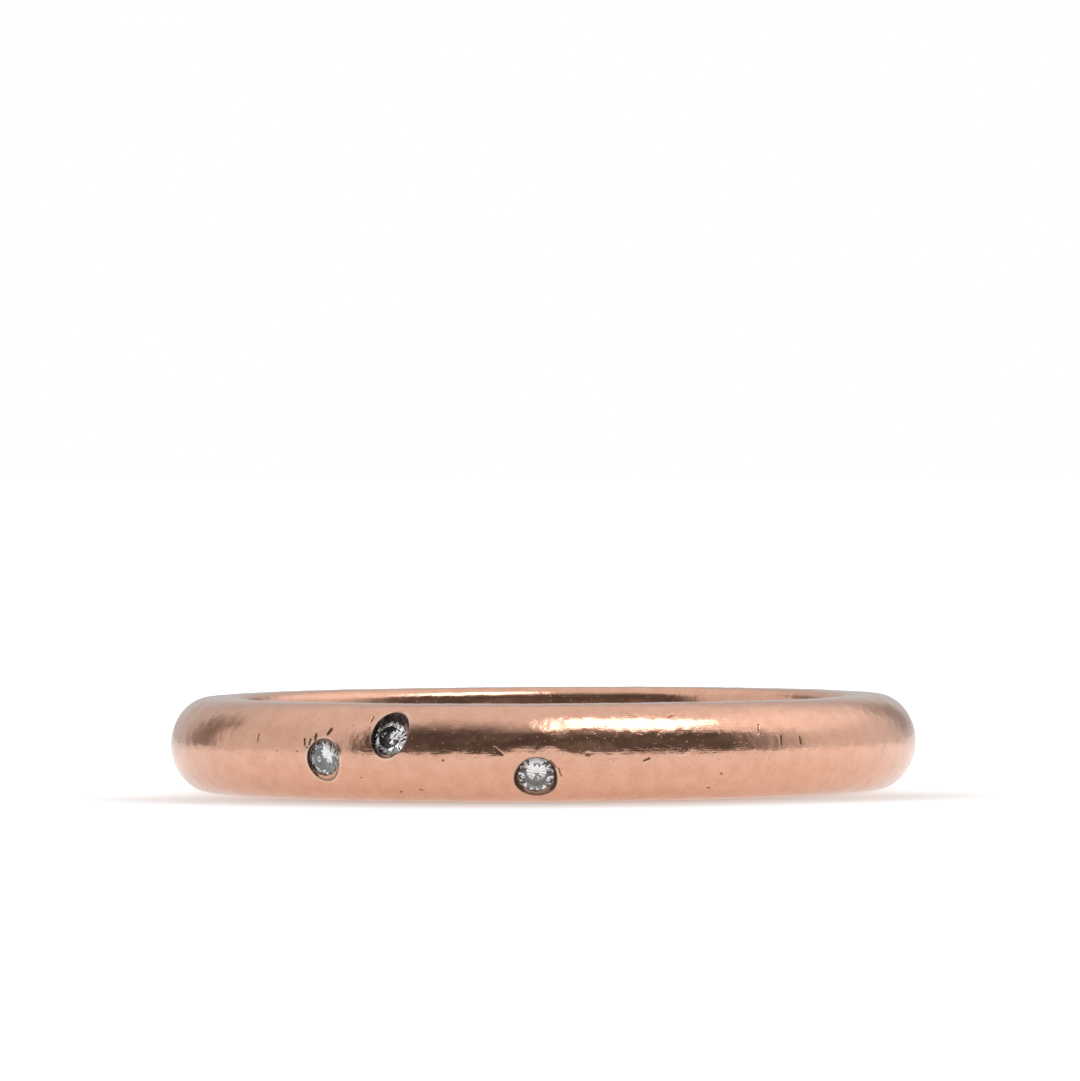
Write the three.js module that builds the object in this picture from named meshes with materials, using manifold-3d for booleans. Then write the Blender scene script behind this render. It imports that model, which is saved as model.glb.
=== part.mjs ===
// A rose gold stacking ring lying on its side: a domed band with three small round diamonds
// set flush in its outside.
//
// Lengths are millimetres and angles are degrees. +Z is up, along the ring's own axis. The
// origin is the middle of the finger hole, level with the side face that the ring lies on, and
// the stones are at the front, towards -Y, with +X to the right as they are looked at.
//
// Each stone is trapped the way a setter traps it: it sits on a conical bearing cut in the band,
// and the rim of metal burnished inwards above it is a little narrower than its girdle.

import * as THREE from "three";
import { mergeVertices } from "three/addons/utils/BufferGeometryUtils.js";
import Module from "manifold-3d";

// The band.
const fingerHoleDiameter = 17.3; // US size 7
const wallThickness = 2.0; // from the finger hole to the crest of the dome
const bandWidth = 2.7; // along the axis, so it is the ring's height as it lies
const domeDepth = 1.15; // how far the rounded outside stands out beyond the flat side faces
const holeEdgeRadius = 0.35; // the softened edge between the finger hole and a side face

// A stone, a round diamond in a plain old cut.
const stoneDiameter = 1.0;
const tableWidth = 0.68; // across the corners of the flat top
const crownHeight = 0.12; // from the girdle up to the table
const girdleHeight = 0.03;
const pavilionDepth = 0.4; // from the girdle down to the point

// A seat.
const stoneClearance = 0.02; // between a stone and the metal round it
const rimOverlap = 0.02; // how far the burnished rim reaches in over the girdle
const cutterHeadroom = 0.3; // how far a cutter stands out of the metal

// Where the stones are. around is the angle from the front, and rise the height above the
// band's middle line as a share of half its width. A seat stands square to the dome there, but
// for its tip, which turns it up. Other lengths are shares of the stone's diameter. A table lies
// below the metal by sunk, and spin turns a stone on its own axis. A mouth is measured over the
// dome: it is as wide and as tall as given, is shifted upwards from the seat, and leans.
const settings = [
  {
    stone: "left_stone", around: -35.2, rise: -0.12, tip: 0, sunk: 0.03, spin: 32,
    mouth: { wide: 1.07, tall: 1.2, shift: -0.05, lean: 2 },
  },
  {
    stone: "middle_stone", around: -23.9, rise: 0.355, tip: 0, sunk: 0.1, spin: -2,
    mouth: { wide: 1.03, tall: 1.42, shift: 0.09, lean: -14 },
  },
  {
    stone: "right_stone", around: -1.15, rise: -0.445, tip: 14, sunk: 0.19, spin: -7,
    mouth: { wide: 1.17, tall: 1.22, shift: -0.075, lean: 0 },
  },
];

// How finely curves are divided.
const bandSegments = 112;
const domeSegments = 16;
const edgeSegments = 4;
const wayStepLength = 0.05; // for measuring over the dome
const seatSides = 24;
const tableSides = 8;
const girdleSides = 2 * tableSides;

const holeRadius = fingerHoleDiameter / 2;
const sideRadius = holeRadius + wallThickness - domeDepth; // outer edge of the flat side faces
const halfWidth = bandWidth / 2;
const stoneRadius = stoneDiameter / 2;

// The half-ellipse of the dome, at an angle from its crest: 90 is the upper side face's edge.
function domeProfile(angle) {
  return { radius: sideRadius + domeDepth * Math.cos(angle), height: halfWidth * (1 + Math.sin(angle)) };
}

// A quarter circle that softens one edge of the finger hole, from the hole's wall (0) to the
// side face (90 degrees). side is 1 for the upper edge and -1 for the lower one.
function holeEdge(angle, side) {
  return {
    radius: holeRadius + holeEdgeRadius * (1 - Math.cos(angle)),
    height: halfWidth + side * (halfWidth - holeEdgeRadius + holeEdgeRadius * Math.sin(angle)),
  };
}

// The band's section, once round: the lower edge of the hole, the dome, then the upper edge.
function bandSection() {
  const quarter = Math.PI / 2;
  const points = [];
  for (let i = 0; i <= edgeSegments; i++) points.push(holeEdge((quarter * i) / edgeSegments, -1));
  for (let i = 0; i <= domeSegments; i++) points.push(domeProfile(-quarter + (2 * quarter * i) / domeSegments));
  for (let i = edgeSegments; i >= 0; i--) points.push(holeEdge((quarter * i) / edgeSegments, 1));
  points.push(points[0]);
  return points.map(({ radius, height }) => new THREE.Vector2(radius, height));
}

// The plain band, turned about Z.
function plainBand() {
  return new THREE.LatheGeometry(bandSection(), bandSegments).rotateX(Math.PI / 2);
}

// The point of the dome at a turn round the band and an angle from the crest, in radians.
function domePoint(turn, climb) {
  const { radius, height } = domeProfile(climb);
  return new THREE.Vector3(radius * Math.sin(turn), -radius * Math.cos(turn), height);
}

// The angle that is reached from another one by going up the dome for a way in millimetres.
function climbAfter(climb, way) {
  const steps = Math.ceil(Math.abs(way) / wayStepLength);
  for (let i = 0; i < steps; i++) {
    climb += way / steps / Math.hypot(domeDepth * Math.sin(climb), halfWidth * Math.cos(climb));
  }
  return climb;
}

// The frame of a seat: its origin on the surface of the dome, x along the band, y up across it
// and z out of the metal.
function seatFrame({ around, rise, tip }) {
  const turn = THREE.MathUtils.degToRad(around);
  const climb = Math.asin(rise);
  const square = Math.atan2(Math.sin(climb) / halfWidth, Math.cos(climb) / domeDepth);
  const slope = square + THREE.MathUtils.degToRad(tip);
  const along = new THREE.Vector3(Math.cos(turn), Math.sin(turn), 0);
  const radial = new THREE.Vector3(Math.sin(turn), -Math.cos(turn), 0);
  const out = radial.multiplyScalar(Math.cos(slope)).setZ(Math.sin(slope));
  const across = out.clone().cross(along);
  return new THREE.Matrix4().makeBasis(along, across, out).setPosition(domePoint(turn, climb));
}

// A point of a mouth's edge, on the dome, at an angle round the mouth in radians.
function mouthEdge({ around, rise, mouth }, angle) {
  const { wide, tall, shift, lean } = mouth;
  const place = new THREE.Vector2((wide / 2) * Math.cos(angle), shift + (tall / 2) * Math.sin(angle))
    .multiplyScalar(stoneDiameter)
    .rotateAround(new THREE.Vector2(), THREE.MathUtils.degToRad(lean));
  const climb = Math.asin(rise);
  const turn = THREE.MathUtils.degToRad(around) + place.x / domeProfile(climb).radius;
  return domePoint(turn, climbAfter(climb, place.y));
}

// A closed solid through loops of as many points each, from its floor up.
function loft(loops) {
  const sides = loops[0].length;
  const corner = (loop, i) => loop * sides + (i % sides);
  const faces = [];
  for (let s = 0; s + 1 < loops.length; s++) {
    for (let i = 0; i < sides; i++) {
      faces.push(corner(s, i), corner(s, i + 1), corner(s + 1, i + 1));
      faces.push(corner(s, i), corner(s + 1, i + 1), corner(s + 1, i));
    }
  }
  const last = loops.length - 1;
  for (let i = 1; i + 1 < sides; i++) {
    faces.push(corner(0, 0), corner(0, i + 1), corner(0, i));
    faces.push(corner(last, 0), corner(last, i), corner(last, i + 1));
  }
  const solid = new THREE.BufferGeometry().setFromPoints(loops.flat());
  solid.setIndex(faces);
  return solid;
}

// The height of a stone's girdle in its seat's frame, at its upper edge.
function girdleLevel({ sunk }) {
  return -sunk * stoneDiameter - crownHeight;
}

// What the setter cuts away for one stone: a cone for the pavilion, a straight bearing round the
// girdle, the rim over it, and the wall up to the mouth.
function seatCutter(setting) {
  const frame = seatFrame(setting);
  const lean = THREE.MathUtils.degToRad(setting.mouth.lean);
  const angles = Array.from({ length: seatSides }, (_, i) => (2 * Math.PI * i) / seatSides);
  const circle = (radius, level) => angles.map((angle) => new THREE.Vector3(
    radius * Math.cos(angle + lean), radius * Math.sin(angle + lean), level,
  ).applyMatrix4(frame));
  const bearing = stoneRadius + stoneClearance;
  const girdle = girdleLevel(setting);
  const point = girdle - girdleHeight - pavilionDepth;
  const edge = angles.map((angle) => mouthEdge(setting, angle));
  const headroom = new THREE.Vector3().setFromMatrixColumn(frame, 2).multiplyScalar(cutterHeadroom);
  return loft([
    circle(stoneClearance, point - 2 * stoneClearance),
    circle(bearing, girdle - girdleHeight - stoneClearance / 2),
    circle(bearing, girdle + stoneClearance / 2),
    circle(stoneRadius - rimOverlap, girdle + 2 * stoneClearance),
    edge,
    edge.map((spot) => spot.clone().add(headroom)),
  ]);
}

// A round stone with its table up, the upper edge of its girdle at z 0. Every second corner
// of the girdle lies under a corner of the table. The crown has a facet below each side of the
// table and a pair below each corner, and the pavilion one below each side of the girdle.
function cutStone() {
  const at = (radius, step, z) => {
    const angle = (2 * Math.PI * step) / girdleSides;
    return new THREE.Vector3(radius * Math.cos(angle), radius * Math.sin(angle), z);
  };
  const table = (k) => at(tableWidth / 2, 2 * k, crownHeight);
  const upper = (j) => at(stoneRadius, j, 0);
  const lower = (j) => at(stoneRadius, j, -girdleHeight);
  const point = new THREE.Vector3(0, 0, -girdleHeight - pavilionDepth);

  const corners = [];
  const facet = (...polygon) => {
    for (let i = 1; i + 1 < polygon.length; i++) corners.push(polygon[0], polygon[i], polygon[i + 1]);
  };
  facet(...Array.from({ length: tableSides }, (_, k) => table(k)));
  for (let k = 0; k < tableSides; k++) {
    facet(table(k), upper(2 * k + 1), table(k + 1));
    facet(table(k), upper(2 * k - 1), upper(2 * k));
    facet(table(k), upper(2 * k), upper(2 * k + 1));
  }
  for (let j = 0; j < girdleSides; j++) {
    facet(lower(j), lower(j + 1), upper(j + 1), upper(j));
    facet(point, lower(j + 1), lower(j));
  }
  return new THREE.BufferGeometry().setFromPoints(corners);
}

const wasm = await Module();
wasm.setup();

// A closed three.js geometry as a manifold-3d solid.
function toSolid(geometry) {
  const bare = geometry.clone();
  bare.deleteAttribute("normal");
  bare.deleteAttribute("uv");
  const merged = mergeVertices(bare);
  return new wasm.Manifold(
    new wasm.Mesh({
      numProp: 3,
      vertProperties: merged.attributes.position.array,
      triVerts: new Uint32Array(merged.index.array),
    }),
  );
}

// A manifold-3d solid as a flat-shaded three.js geometry.
function toGeometry(solid) {
  const mesh = solid.getMesh();
  const indexed = new THREE.BufferGeometry();
  indexed.setAttribute("position", new THREE.BufferAttribute(mesh.vertProperties, 3));
  indexed.setIndex(new THREE.BufferAttribute(mesh.triVerts, 1));
  const geometry = indexed.toNonIndexed();
  geometry.computeVertexNormals();
  return geometry;
}

const roseGold = new THREE.MeshStandardMaterial({ color: 0xd9a58c, metalness: 1, roughness: 0.28 });
const diamond = new THREE.MeshStandardMaterial({ color: 0xe8eef0, metalness: 0, roughness: 0.02 });

// The band with its three seats cut in it.
function makeBand() {
  let solid = toSolid(plainBand());
  for (const setting of settings) {
    solid = solid.subtract(toSolid(seatCutter(setting)));
  }
  const band = new THREE.Mesh(toGeometry(solid), roseGold);
  band.name = "band";
  return band;
}

// One stone, in a group that stands in its seat's frame.
function makeStone(setting) {
  const stone = new THREE.Mesh(cutStone(), diamond);
  stone.name = setting.stone;
  stone.geometry.computeVertexNormals();
  stone.position.z = girdleLevel(setting);
  stone.rotation.z = THREE.MathUtils.degToRad(setting.spin);
  const seat = new THREE.Group();
  seat.applyMatrix4(seatFrame(setting));
  seat.add(stone);
  return seat;
}

const ring = new THREE.Group();
ring.add(makeBand());
for (const setting of settings) ring.add(makeStone(setting));

export default ring;
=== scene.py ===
"""A rose gold stacking ring with three small diamonds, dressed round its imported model.

The stones are the model's own. The band stands in for the model's plainer one and has the same
form: Geometry Nodes roll its section round the finger hole, work the setter's seats into it and
mark its surface with the dents and nicks of wear.

Lengths are metres, and those whose names end in _mm are millimetres. +Z is up, along the ring's
own axis, and the stones are at the front, towards -Y. An angle round the band starts at the front
and is positive to the right.
"""

import logging
import math
from dataclasses import dataclass, field
from enum import Enum, IntEnum
from functools import reduce

import bpy
import numpy as np
from mathutils import Matrix, Vector


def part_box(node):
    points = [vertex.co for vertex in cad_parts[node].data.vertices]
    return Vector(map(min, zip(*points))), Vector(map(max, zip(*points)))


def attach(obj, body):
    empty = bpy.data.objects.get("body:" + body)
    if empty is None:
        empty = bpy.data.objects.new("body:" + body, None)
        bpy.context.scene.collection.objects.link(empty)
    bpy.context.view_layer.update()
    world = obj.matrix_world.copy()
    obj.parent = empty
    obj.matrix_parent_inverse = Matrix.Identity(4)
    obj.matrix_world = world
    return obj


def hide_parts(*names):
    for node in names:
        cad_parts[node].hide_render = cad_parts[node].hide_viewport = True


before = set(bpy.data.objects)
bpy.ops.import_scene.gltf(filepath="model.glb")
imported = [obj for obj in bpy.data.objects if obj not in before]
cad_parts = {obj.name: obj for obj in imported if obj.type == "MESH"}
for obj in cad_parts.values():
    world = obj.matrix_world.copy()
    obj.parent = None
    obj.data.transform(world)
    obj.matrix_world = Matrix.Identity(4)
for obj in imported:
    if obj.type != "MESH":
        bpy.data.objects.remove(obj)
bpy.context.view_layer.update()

MM = 0.001
LOG = logging.getLogger("ring")

Socket = bpy.types.NodeSocket
Value = float | int | bool | str | tuple | Vector | Socket
Color = tuple[float, float, float]
Span = tuple[float, float]
Flat = tuple[float, float]


def on_circle(around: float, reach: float, height: float) -> tuple[float, float, float]:
    """Gives the point at an angle round the ring's axis, at a distance from it and a height."""
    return reach * math.sin(around), -reach * math.cos(around), height


def plain_mesh(name: str, points: list, edges: list, faces: list) -> bpy.types.Mesh:
    """Makes a mesh from its points, its loose edges and its faces."""
    mesh = bpy.data.meshes.new(name)
    mesh.from_pydata(points, edges, faces)
    return mesh


def put(name: str, data: bpy.types.ID) -> bpy.types.Object:
    """Puts a new object that has this data into the scene, and gives the object."""
    placed = bpy.data.objects.new(name, data)
    bpy.context.scene.collection.objects.link(placed)
    return placed


class Part(IntEnum):
    """The stretches of the band's section, in order round it, and what lies inside a seat."""

    LOWER_EDGE = 0
    LOWER_SIDE = 1
    DOME = 2
    UPPER_SIDE = 3
    UPPER_EDGE = 4
    HOLE_WALL = 5
    SEAT = 6


class Mark(Enum):
    """The names of the attributes that the band's mesh carries."""

    AROUND = "around"
    PART = "part"
    SHARE = "share"
    SKIN = "skin"
    SWELL = "swell"
    TARNISH = "tarnish"
    DEPTH = "depth"
    WRAP = "Wrap"

    @property
    def kind(self) -> str:
        """The type of its values."""
        return "INT" if self is Mark.PART else "FLOAT"


class Axis(IntEnum):
    """The three axes, by their place in a vector."""

    X = 0
    Y = 1
    Z = 2


@dataclass(frozen=True)
class Noise:
    """How fine a noise is, how many finer layers it has and how strong those are."""

    scale: float
    detail: float = 2.0
    roughness: float = 0.5


class Desk:
    """Adds and joins nodes in one tree, so that a finish reads as a list of steps."""

    def __init__(self, tree: bpy.types.NodeTree) -> None:
        """Takes the tree to work in."""
        self.tree = tree

    @classmethod
    def cleared(cls, owner: bpy.types.Material | bpy.types.World) -> "Desk":
        """Empties the tree of a material or a world.

        Args:
            owner: the material or the world.

        Returns:
            The desk for its new nodes.
        """
        owner.use_nodes = True
        owner.node_tree.nodes.clear()
        return cls(owner.node_tree)

    @classmethod
    def group(cls, name: str, kind: str, inputs: dict[str, str], output: tuple[str, str]) -> "Desk":
        """Makes a tree with named inputs and one output.

        Args:
            name: the tree's name.
            kind: its type in Blender.
            inputs: what each input takes, by the input's name.
            output: the output's name and what it gives.

        Returns:
            The desk for its nodes.
        """
        tree = bpy.data.node_groups.new(name, kind)
        for title, takes in inputs.items():
            tree.interface.new_socket(name=title, in_out="INPUT", socket_type="NodeSocket" + takes)
        title, gives = output
        tree.interface.new_socket(name=title, in_out="OUTPUT", socket_type="NodeSocket" + gives)
        return cls(tree)

    def feed(self, socket: Socket, value: Value) -> None:
        """Joins a socket to another one, or sets its value.

        Args:
            socket: the socket.
            value: the other socket or the value. A colour is given by its red, green and blue.
        """
        if isinstance(value, Socket):
            self.tree.links.new(value, socket)
        elif socket.type == "RGBA":
            socket.default_value = (*value, 1.0)
        else:
            socket.default_value = value

    def node(self, kind: str, inputs: dict | None = None, **settings: object) -> bpy.types.Node:
        """Adds a node.

        Args:
            kind: the node's type in Blender.
            inputs: values or sockets for its inputs, by name or by number.
            settings: the node's own properties.

        Returns:
            The new node.
        """
        made = self.tree.nodes.new(kind)
        for name, value in settings.items():
            setattr(made, name, value)
        for key, value in (inputs or {}).items():
            self.feed(made.inputs[key], value)
        return made

    def math(self, operation: str, *values: Value) -> Socket:
        """Gives the result of a Math node."""
        return self.node("ShaderNodeMath", dict(enumerate(values)), operation=operation).outputs[0]

    def row(self, operation: str, *values: Value) -> Socket:
        """Gives the result of a row of Math nodes, each of which takes in one more value."""
        return reduce(lambda made, value: self.math(operation, made, value), values)

    def times(self, *values: Value) -> Socket:
        """Gives the product of numbers."""
        return self.row("MULTIPLY", *values)

    def plus(self, *values: Value) -> Socket:
        """Gives the sum of numbers."""
        return self.row("ADD", *values)

    def minus(self, *values: Value) -> Socket:
        """Gives the first number less the others."""
        return self.row("SUBTRACT", *values)

    def highest(self, *values: Value) -> Socket:
        """Gives the highest of some numbers."""
        return self.row("MAXIMUM", *values)

    def vector(self, operation: str, *values: Value) -> Socket:
        """Gives the result of a Vector Math node, whose result is a vector."""
        return self.node("ShaderNodeVectorMath", dict(enumerate(values)), operation=operation).outputs[0]

    def length(self, vector: Socket) -> Socket:
        """Gives the length of a vector."""
        return self.node("ShaderNodeVectorMath", {0: vector}, operation="LENGTH").outputs["Value"]

    def scaled(self, vector: Value, factor: Value) -> Socket:
        """Gives a vector times a number."""
        inputs = {0: vector, "Scale": factor}
        return self.node("ShaderNodeVectorMath", inputs, operation="SCALE").outputs[0]

    def split(self, vector: Socket) -> tuple[Socket, Socket, Socket]:
        """Gives the X, Y and Z of a vector."""
        return tuple(self.node("ShaderNodeSeparateXYZ", {0: vector}).outputs)

    def joined(self, x: Value, y: Value, z: Value = 0.0) -> Socket:
        """Gives the vector of two or three numbers."""
        return self.node("ShaderNodeCombineXYZ", {0: x, 1: y, 2: z}).outputs[0]

    def unturned(self, place: Socket, centre: Value, angle: Socket) -> tuple[Socket, Socket, Socket]:
        """Gives the X, Y and Z of a flat place from a centre, turned by an angle."""
        inputs = {"Vector": self.vector("SUBTRACT", place, centre), "Angle": angle}
        return self.split(self.node("ShaderNodeVectorRotate", inputs, rotation_type="Z_AXIS").outputs[0])

    def mix(self, share: Value, low: Value, high: Value) -> Socket:
        """Gives what lies between two numbers, where a share of 0 gives low and one of 1 gives high."""
        return self.node("ShaderNodeMix", {0: share, 2: low, 3: high}, data_type="FLOAT").outputs[0]

    def blend(self, share: Value, low: Value, high: Value) -> Socket:
        """Gives what lies between two colours, in the same way."""
        return self.node("ShaderNodeMix", {0: share, 6: low, 7: high}, data_type="RGBA").outputs[2]

    def ramp(self, value: Socket, start: Value, end: Value, low: Value = 0.0, high: Value = 1.0) -> Socket:
        """Gives a smooth step from low to high as value goes from start to end."""
        inputs = {"Value": value, "From Min": start, "From Max": end, "To Min": low, "To Max": high}
        return self.node("ShaderNodeMapRange", inputs, interpolation_type="SMOOTHSTEP").outputs[0]

    def fade(self, value: Socket, start: Value, end: Value) -> Socket:
        """Gives a smooth step down from 1 to 0 as value goes from start to end."""
        return self.ramp(value, start, end, 1.0, 0.0)

    def noise(self, place: Socket, noise: Noise) -> Socket:
        """Gives a noise from 0 to 1 at a place."""
        inputs = {
            "Vector": place, "Scale": noise.scale, "Detail": noise.detail, "Roughness": noise.roughness,
        }
        return self.node("ShaderNodeTexNoise", inputs, noise_dimensions="3D").outputs[0]

    def sway(self, place: Socket, noise: Noise) -> Socket:
        """Gives a noise to both sides of 0 at a place."""
        return self.minus(self.noise(place, noise), 0.5)

    def cells(self, place: Socket, scale: float) -> tuple[bpy.types.NodeOutputs, list[Socket]]:
        """Scatters cells over a flat place.

        Args:
            place: the place.
            scale: how many cells there are in a millimetre.

        Returns:
            The outputs of the pattern, and three random numbers for each cell.
        """
        inputs = {"Vector": place, "Scale": scale}
        made = self.node("ShaderNodeTexVoronoi", inputs, voronoi_dimensions="2D", feature="F1").outputs
        return made, self.split(made["Color"])


@dataclass(frozen=True)
class Nick:
    """A nick in the band: where it is, how it runs and how deep it is.

    Attributes:
        around: the angle round the band, in degrees.
        rise: the height above the middle, as a share of the half width.
        length_mm: its length.
        turn: its turn from the direction along the band, in degrees.
        depth_mm: its depth.
        width_mm: the width of its dark bottom.
    """

    around: float
    rise: float
    length_mm: float
    turn: float
    depth_mm: float
    width_mm: float = 0.045


@dataclass(frozen=True)
class Scratches:
    """A field of short straight scratches, one in each cell of a scattered pattern.

    Attributes:
        cell_mm: how far apart the scratches are.
        length_mm: how much longer the longest ones are than the shortest.
        width_mm: how wide a scratch is.
        share: the share of the cells that have one.
        offset: moves the pattern, so that two fields differ.
        along: 0 turns them every way, and 1 keeps them along the band.
    """

    cell_mm: float
    length_mm: float
    width_mm: float
    share: float
    offset: float
    along: float = 0.0

    SHORTEST_SHARE = 0.3
    ENDS_FROM = 0.4

    def mask(self, desk: Desk, place: Socket) -> Socket:
        """Draws the field on a flat place in millimetres.

        Args:
            desk: where the nodes go.
            place: the place on the band's unrolled surface.

        Returns:
            The depth of the scratch there, from 0 to 1.
        """
        moved = desk.vector("ADD", place, (self.offset, -self.offset, 0.0))
        cells, (chance, turn, size) = desk.cells(moved, 1 / self.cell_mm)
        angle = desk.times(desk.minus(turn, 0.5), math.pi * (1 - self.along))
        run, aside, _ = desk.unturned(moved, cells["Position"], angle)
        half = desk.times(desk.plus(size, self.SHORTEST_SHARE), self.length_mm / 2)
        ends = desk.fade(desk.math("ABSOLUTE", run), desk.times(half, self.ENDS_FROM), half)
        sides = desk.fade(desk.math("ABSOLUTE", aside), 0.0, self.width_mm)
        return desk.times(ends, sides, desk.math("LESS_THAN", chance, self.share))


@dataclass(frozen=True)
class Pits:
    """Small round pits, one in some of the cells of a scattered pattern.

    Attributes:
        per_mm: how many cells there are in a millimetre.
        radius: the radius of the smallest pits, and how much more the largest have, in cells.
        share: the share of the cells that have one.
    """

    per_mm: float = 4.2
    radius: Span = (0.04, 0.07)
    share: float = 0.42

    def mask(self, desk: Desk, place: Socket) -> Socket:
        """Draws the pits.

        Args:
            desk: where the nodes go.
            place: the place on the band's unrolled surface.

        Returns:
            The depth of the pit there, from 0 to 1.
        """
        cells, (chance, size, _) = desk.cells(place, self.per_mm)
        least, more = self.radius
        hole = desk.fade(cells["Distance"], 0.0, desk.math("MULTIPLY_ADD", size, more, least))
        return desk.times(hole, desk.math("LESS_THAN", chance, self.share))


@dataclass(frozen=True)
class RoseGold:
    """Hand-polished rose gold, scratched, a little pitted, black with tarnish in the seats, and with a
    painted highlight on their lips.

    Attributes:
        bright: the metal's colour.
        dull: its colour where it is duller.
        tarnish: the colour of the seats' walls.
        soot: their colour where they are darkest.
        grime: the colour of the dirt in nicks and pits.
        painted_highlight: the lighter colour painted on the lips of the seats as a highlight.
        polish: its middle roughness, and how much smears change it.
        tarnish_roughness: the roughness of tarnish and dirt.
        peel_mm: the height of the soft unevenness that polishing leaves.
        grain_mm: the height of the fine grain, and of the lines drawn along the band.
        scratch_mm: the depth of a scratch.
        pit_mm: the depth of a pit.
        painted_highlight_share: how much of that painted highlight colour a lip takes.
        held: how much dirt scratches hold, then pits, then nicks.
        tarnish_gain: how soon the tarnish is fully black.
        stray_mm: how ragged the nicks' sides are.
    """

    bright: Color = (0.77, 0.443, 0.322)
    dull: Color = (0.71, 0.393, 0.272)
    tarnish: Color = (0.11, 0.088, 0.074)
    soot: Color = (0.035, 0.027, 0.022)
    grime: Color = (0.1, 0.036, 0.02)
    painted_highlight: Color = (0.98, 0.74, 0.62)
    polish: Span = (0.12, 0.1)
    tarnish_roughness: float = 0.36
    peel_mm: float = 0.0044
    grain_mm: float = 0.002
    scratch_mm: float = 0.0012
    pit_mm: float = 0.006
    painted_highlight_share: float = 0.8
    held: tuple[float, float, float] = (0.08, 0.5, 0.85)
    tarnish_gain: float = 1.3
    stray_mm: float = 0.05
    scratches: tuple[Scratches, ...] = (
        Scratches(cell_mm=0.3, length_mm=0.3, width_mm=0.010, share=0.35, offset=3.7),
        Scratches(cell_mm=0.45, length_mm=0.6, width_mm=0.008, share=0.3, offset=23.9, along=0.8),
        Scratches(cell_mm=0.12, length_mm=0.06, width_mm=0.014, share=0.4, offset=7.1, along=0.3),
    )
    pits: Pits = Pits()

    PEEL = Noise(6.5, 3.0, 0.55)
    GRAIN = Noise(24.0, 2.0, 0.6)
    LINES = Noise(1.0, 2.0, 0.6)
    LINES_PER_MM = (0.45, 22.0, 1.0)
    WORN = Noise(0.55)
    WORN_RANGE = (0.35, 0.62, 0.3, 1.0)
    BLOTCHES = Noise(2.2, 5.0, 0.68)
    BLOTCH_RANGE = (0.35, 0.68)
    CRUST = Noise(11.0, 4.0, 0.6)
    CRUST_RANGE = (0.35, 0.65)
    SMEARS = Noise(2.1, 5.0, 0.65)
    RAGGED = Noise(9.0)

    @staticmethod
    def attribute(desk: Desk, mark: Mark) -> Socket:
        """Reads one of the band's own attributes."""
        return desk.node("ShaderNodeAttribute", attribute_name=mark.value).outputs["Fac"]

    @staticmethod
    def nick_group() -> bpy.types.NodeTree:
        """Makes the group that draws one nick as a soft-ended stroke.

        Returns:
            The group, whose mask is 1 in the middle of the stroke.
        """
        inputs = {
            "Place": "Vector", "Centre": "Vector",
            "Turn": "Float", "Half Length": "Float", "Half Width": "Float",
        }
        desk = Desk.group("nick", "ShaderNodeTree", inputs, ("Mask", "Float"))
        given = desk.node("NodeGroupInput").outputs
        run, aside, _ = desk.unturned(given["Place"], given["Centre"], desk.times(given["Turn"], -1.0))
        beyond = desk.highest(desk.minus(desk.math("ABSOLUTE", run), given["Half Length"]), 0.0)
        mask = desk.fade(desk.length(desk.joined(beyond, aside)), 0.0, given["Half Width"])
        desk.node("NodeGroupOutput", {0: mask})
        return desk.tree

    def nicked(self, desk: Desk, place: Socket, nicks: list[tuple[Flat, Nick]]) -> tuple[Socket, Socket]:
        """Draws the nicks. Each is taken in at once, as a shader holds few values at a time.

        Args:
            desk: where the nodes go.
            place: the place on the unrolled surface, in millimetres.
            nicks: each nick, after its own place on that surface.

        Returns:
            The depth in millimetres, and the mask of the nicks.
        """
        group = self.nick_group()
        ragged = desk.sway(place, self.RAGGED)
        strayed = desk.vector("ADD", place, desk.scaled(desk.joined(ragged, ragged), self.stray_mm))
        depth = mask = None
        for centre, nick in nicks:
            inputs = {
                "Place": strayed, "Centre": (*centre, 0.0), "Turn": math.radians(nick.turn),
                "Half Length": max(0.0, (nick.length_mm - nick.width_mm) / 2), "Half Width": nick.width_mm,
            }
            drawn = desk.node("ShaderNodeGroup", inputs, node_tree=group).outputs[0]
            cut = desk.times(drawn, nick.depth_mm)
            depth = cut if depth is None else desk.highest(depth, cut)
            mask = drawn if mask is None else desk.highest(mask, drawn)
        return depth, mask

    def relief(self, desk: Desk, body: Socket, place: Socket) -> tuple[Socket, Socket]:
        """Adds up the fine relief of the surface.

        Args:
            desk: where the nodes go.
            body: the place in the body, in millimetres.
            place: the place on the unrolled surface, in millimetres.

        Returns:
            The height in millimetres, and the mask of what holds dirt.
        """
        worn = desk.ramp(desk.noise(body, self.WORN), *self.WORN_RANGE)
        peel = desk.times(desk.noise(body, self.PEEL), self.peel_mm)
        grain = desk.times(desk.noise(body, self.GRAIN), self.grain_mm)
        lines = desk.vector("MULTIPLY", place, self.LINES_PER_MM)
        drawn = desk.times(desk.noise(lines, self.LINES), self.grain_mm)
        height = desk.plus(peel, grain, drawn)
        strokes = None
        for layer in self.scratches:
            mask = layer.mask(desk, place)
            strokes = mask if strokes is None else desk.highest(strokes, mask)
        strokes = desk.times(strokes, worn)
        pits = self.pits.mask(desk, place)
        height = desk.minus(height, desk.times(strokes, self.scratch_mm), desk.times(pits, self.pit_mm))
        in_scratches, in_pits, _ = self.held
        return height, desk.highest(desk.times(strokes, in_scratches), desk.times(pits, in_pits))

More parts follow.
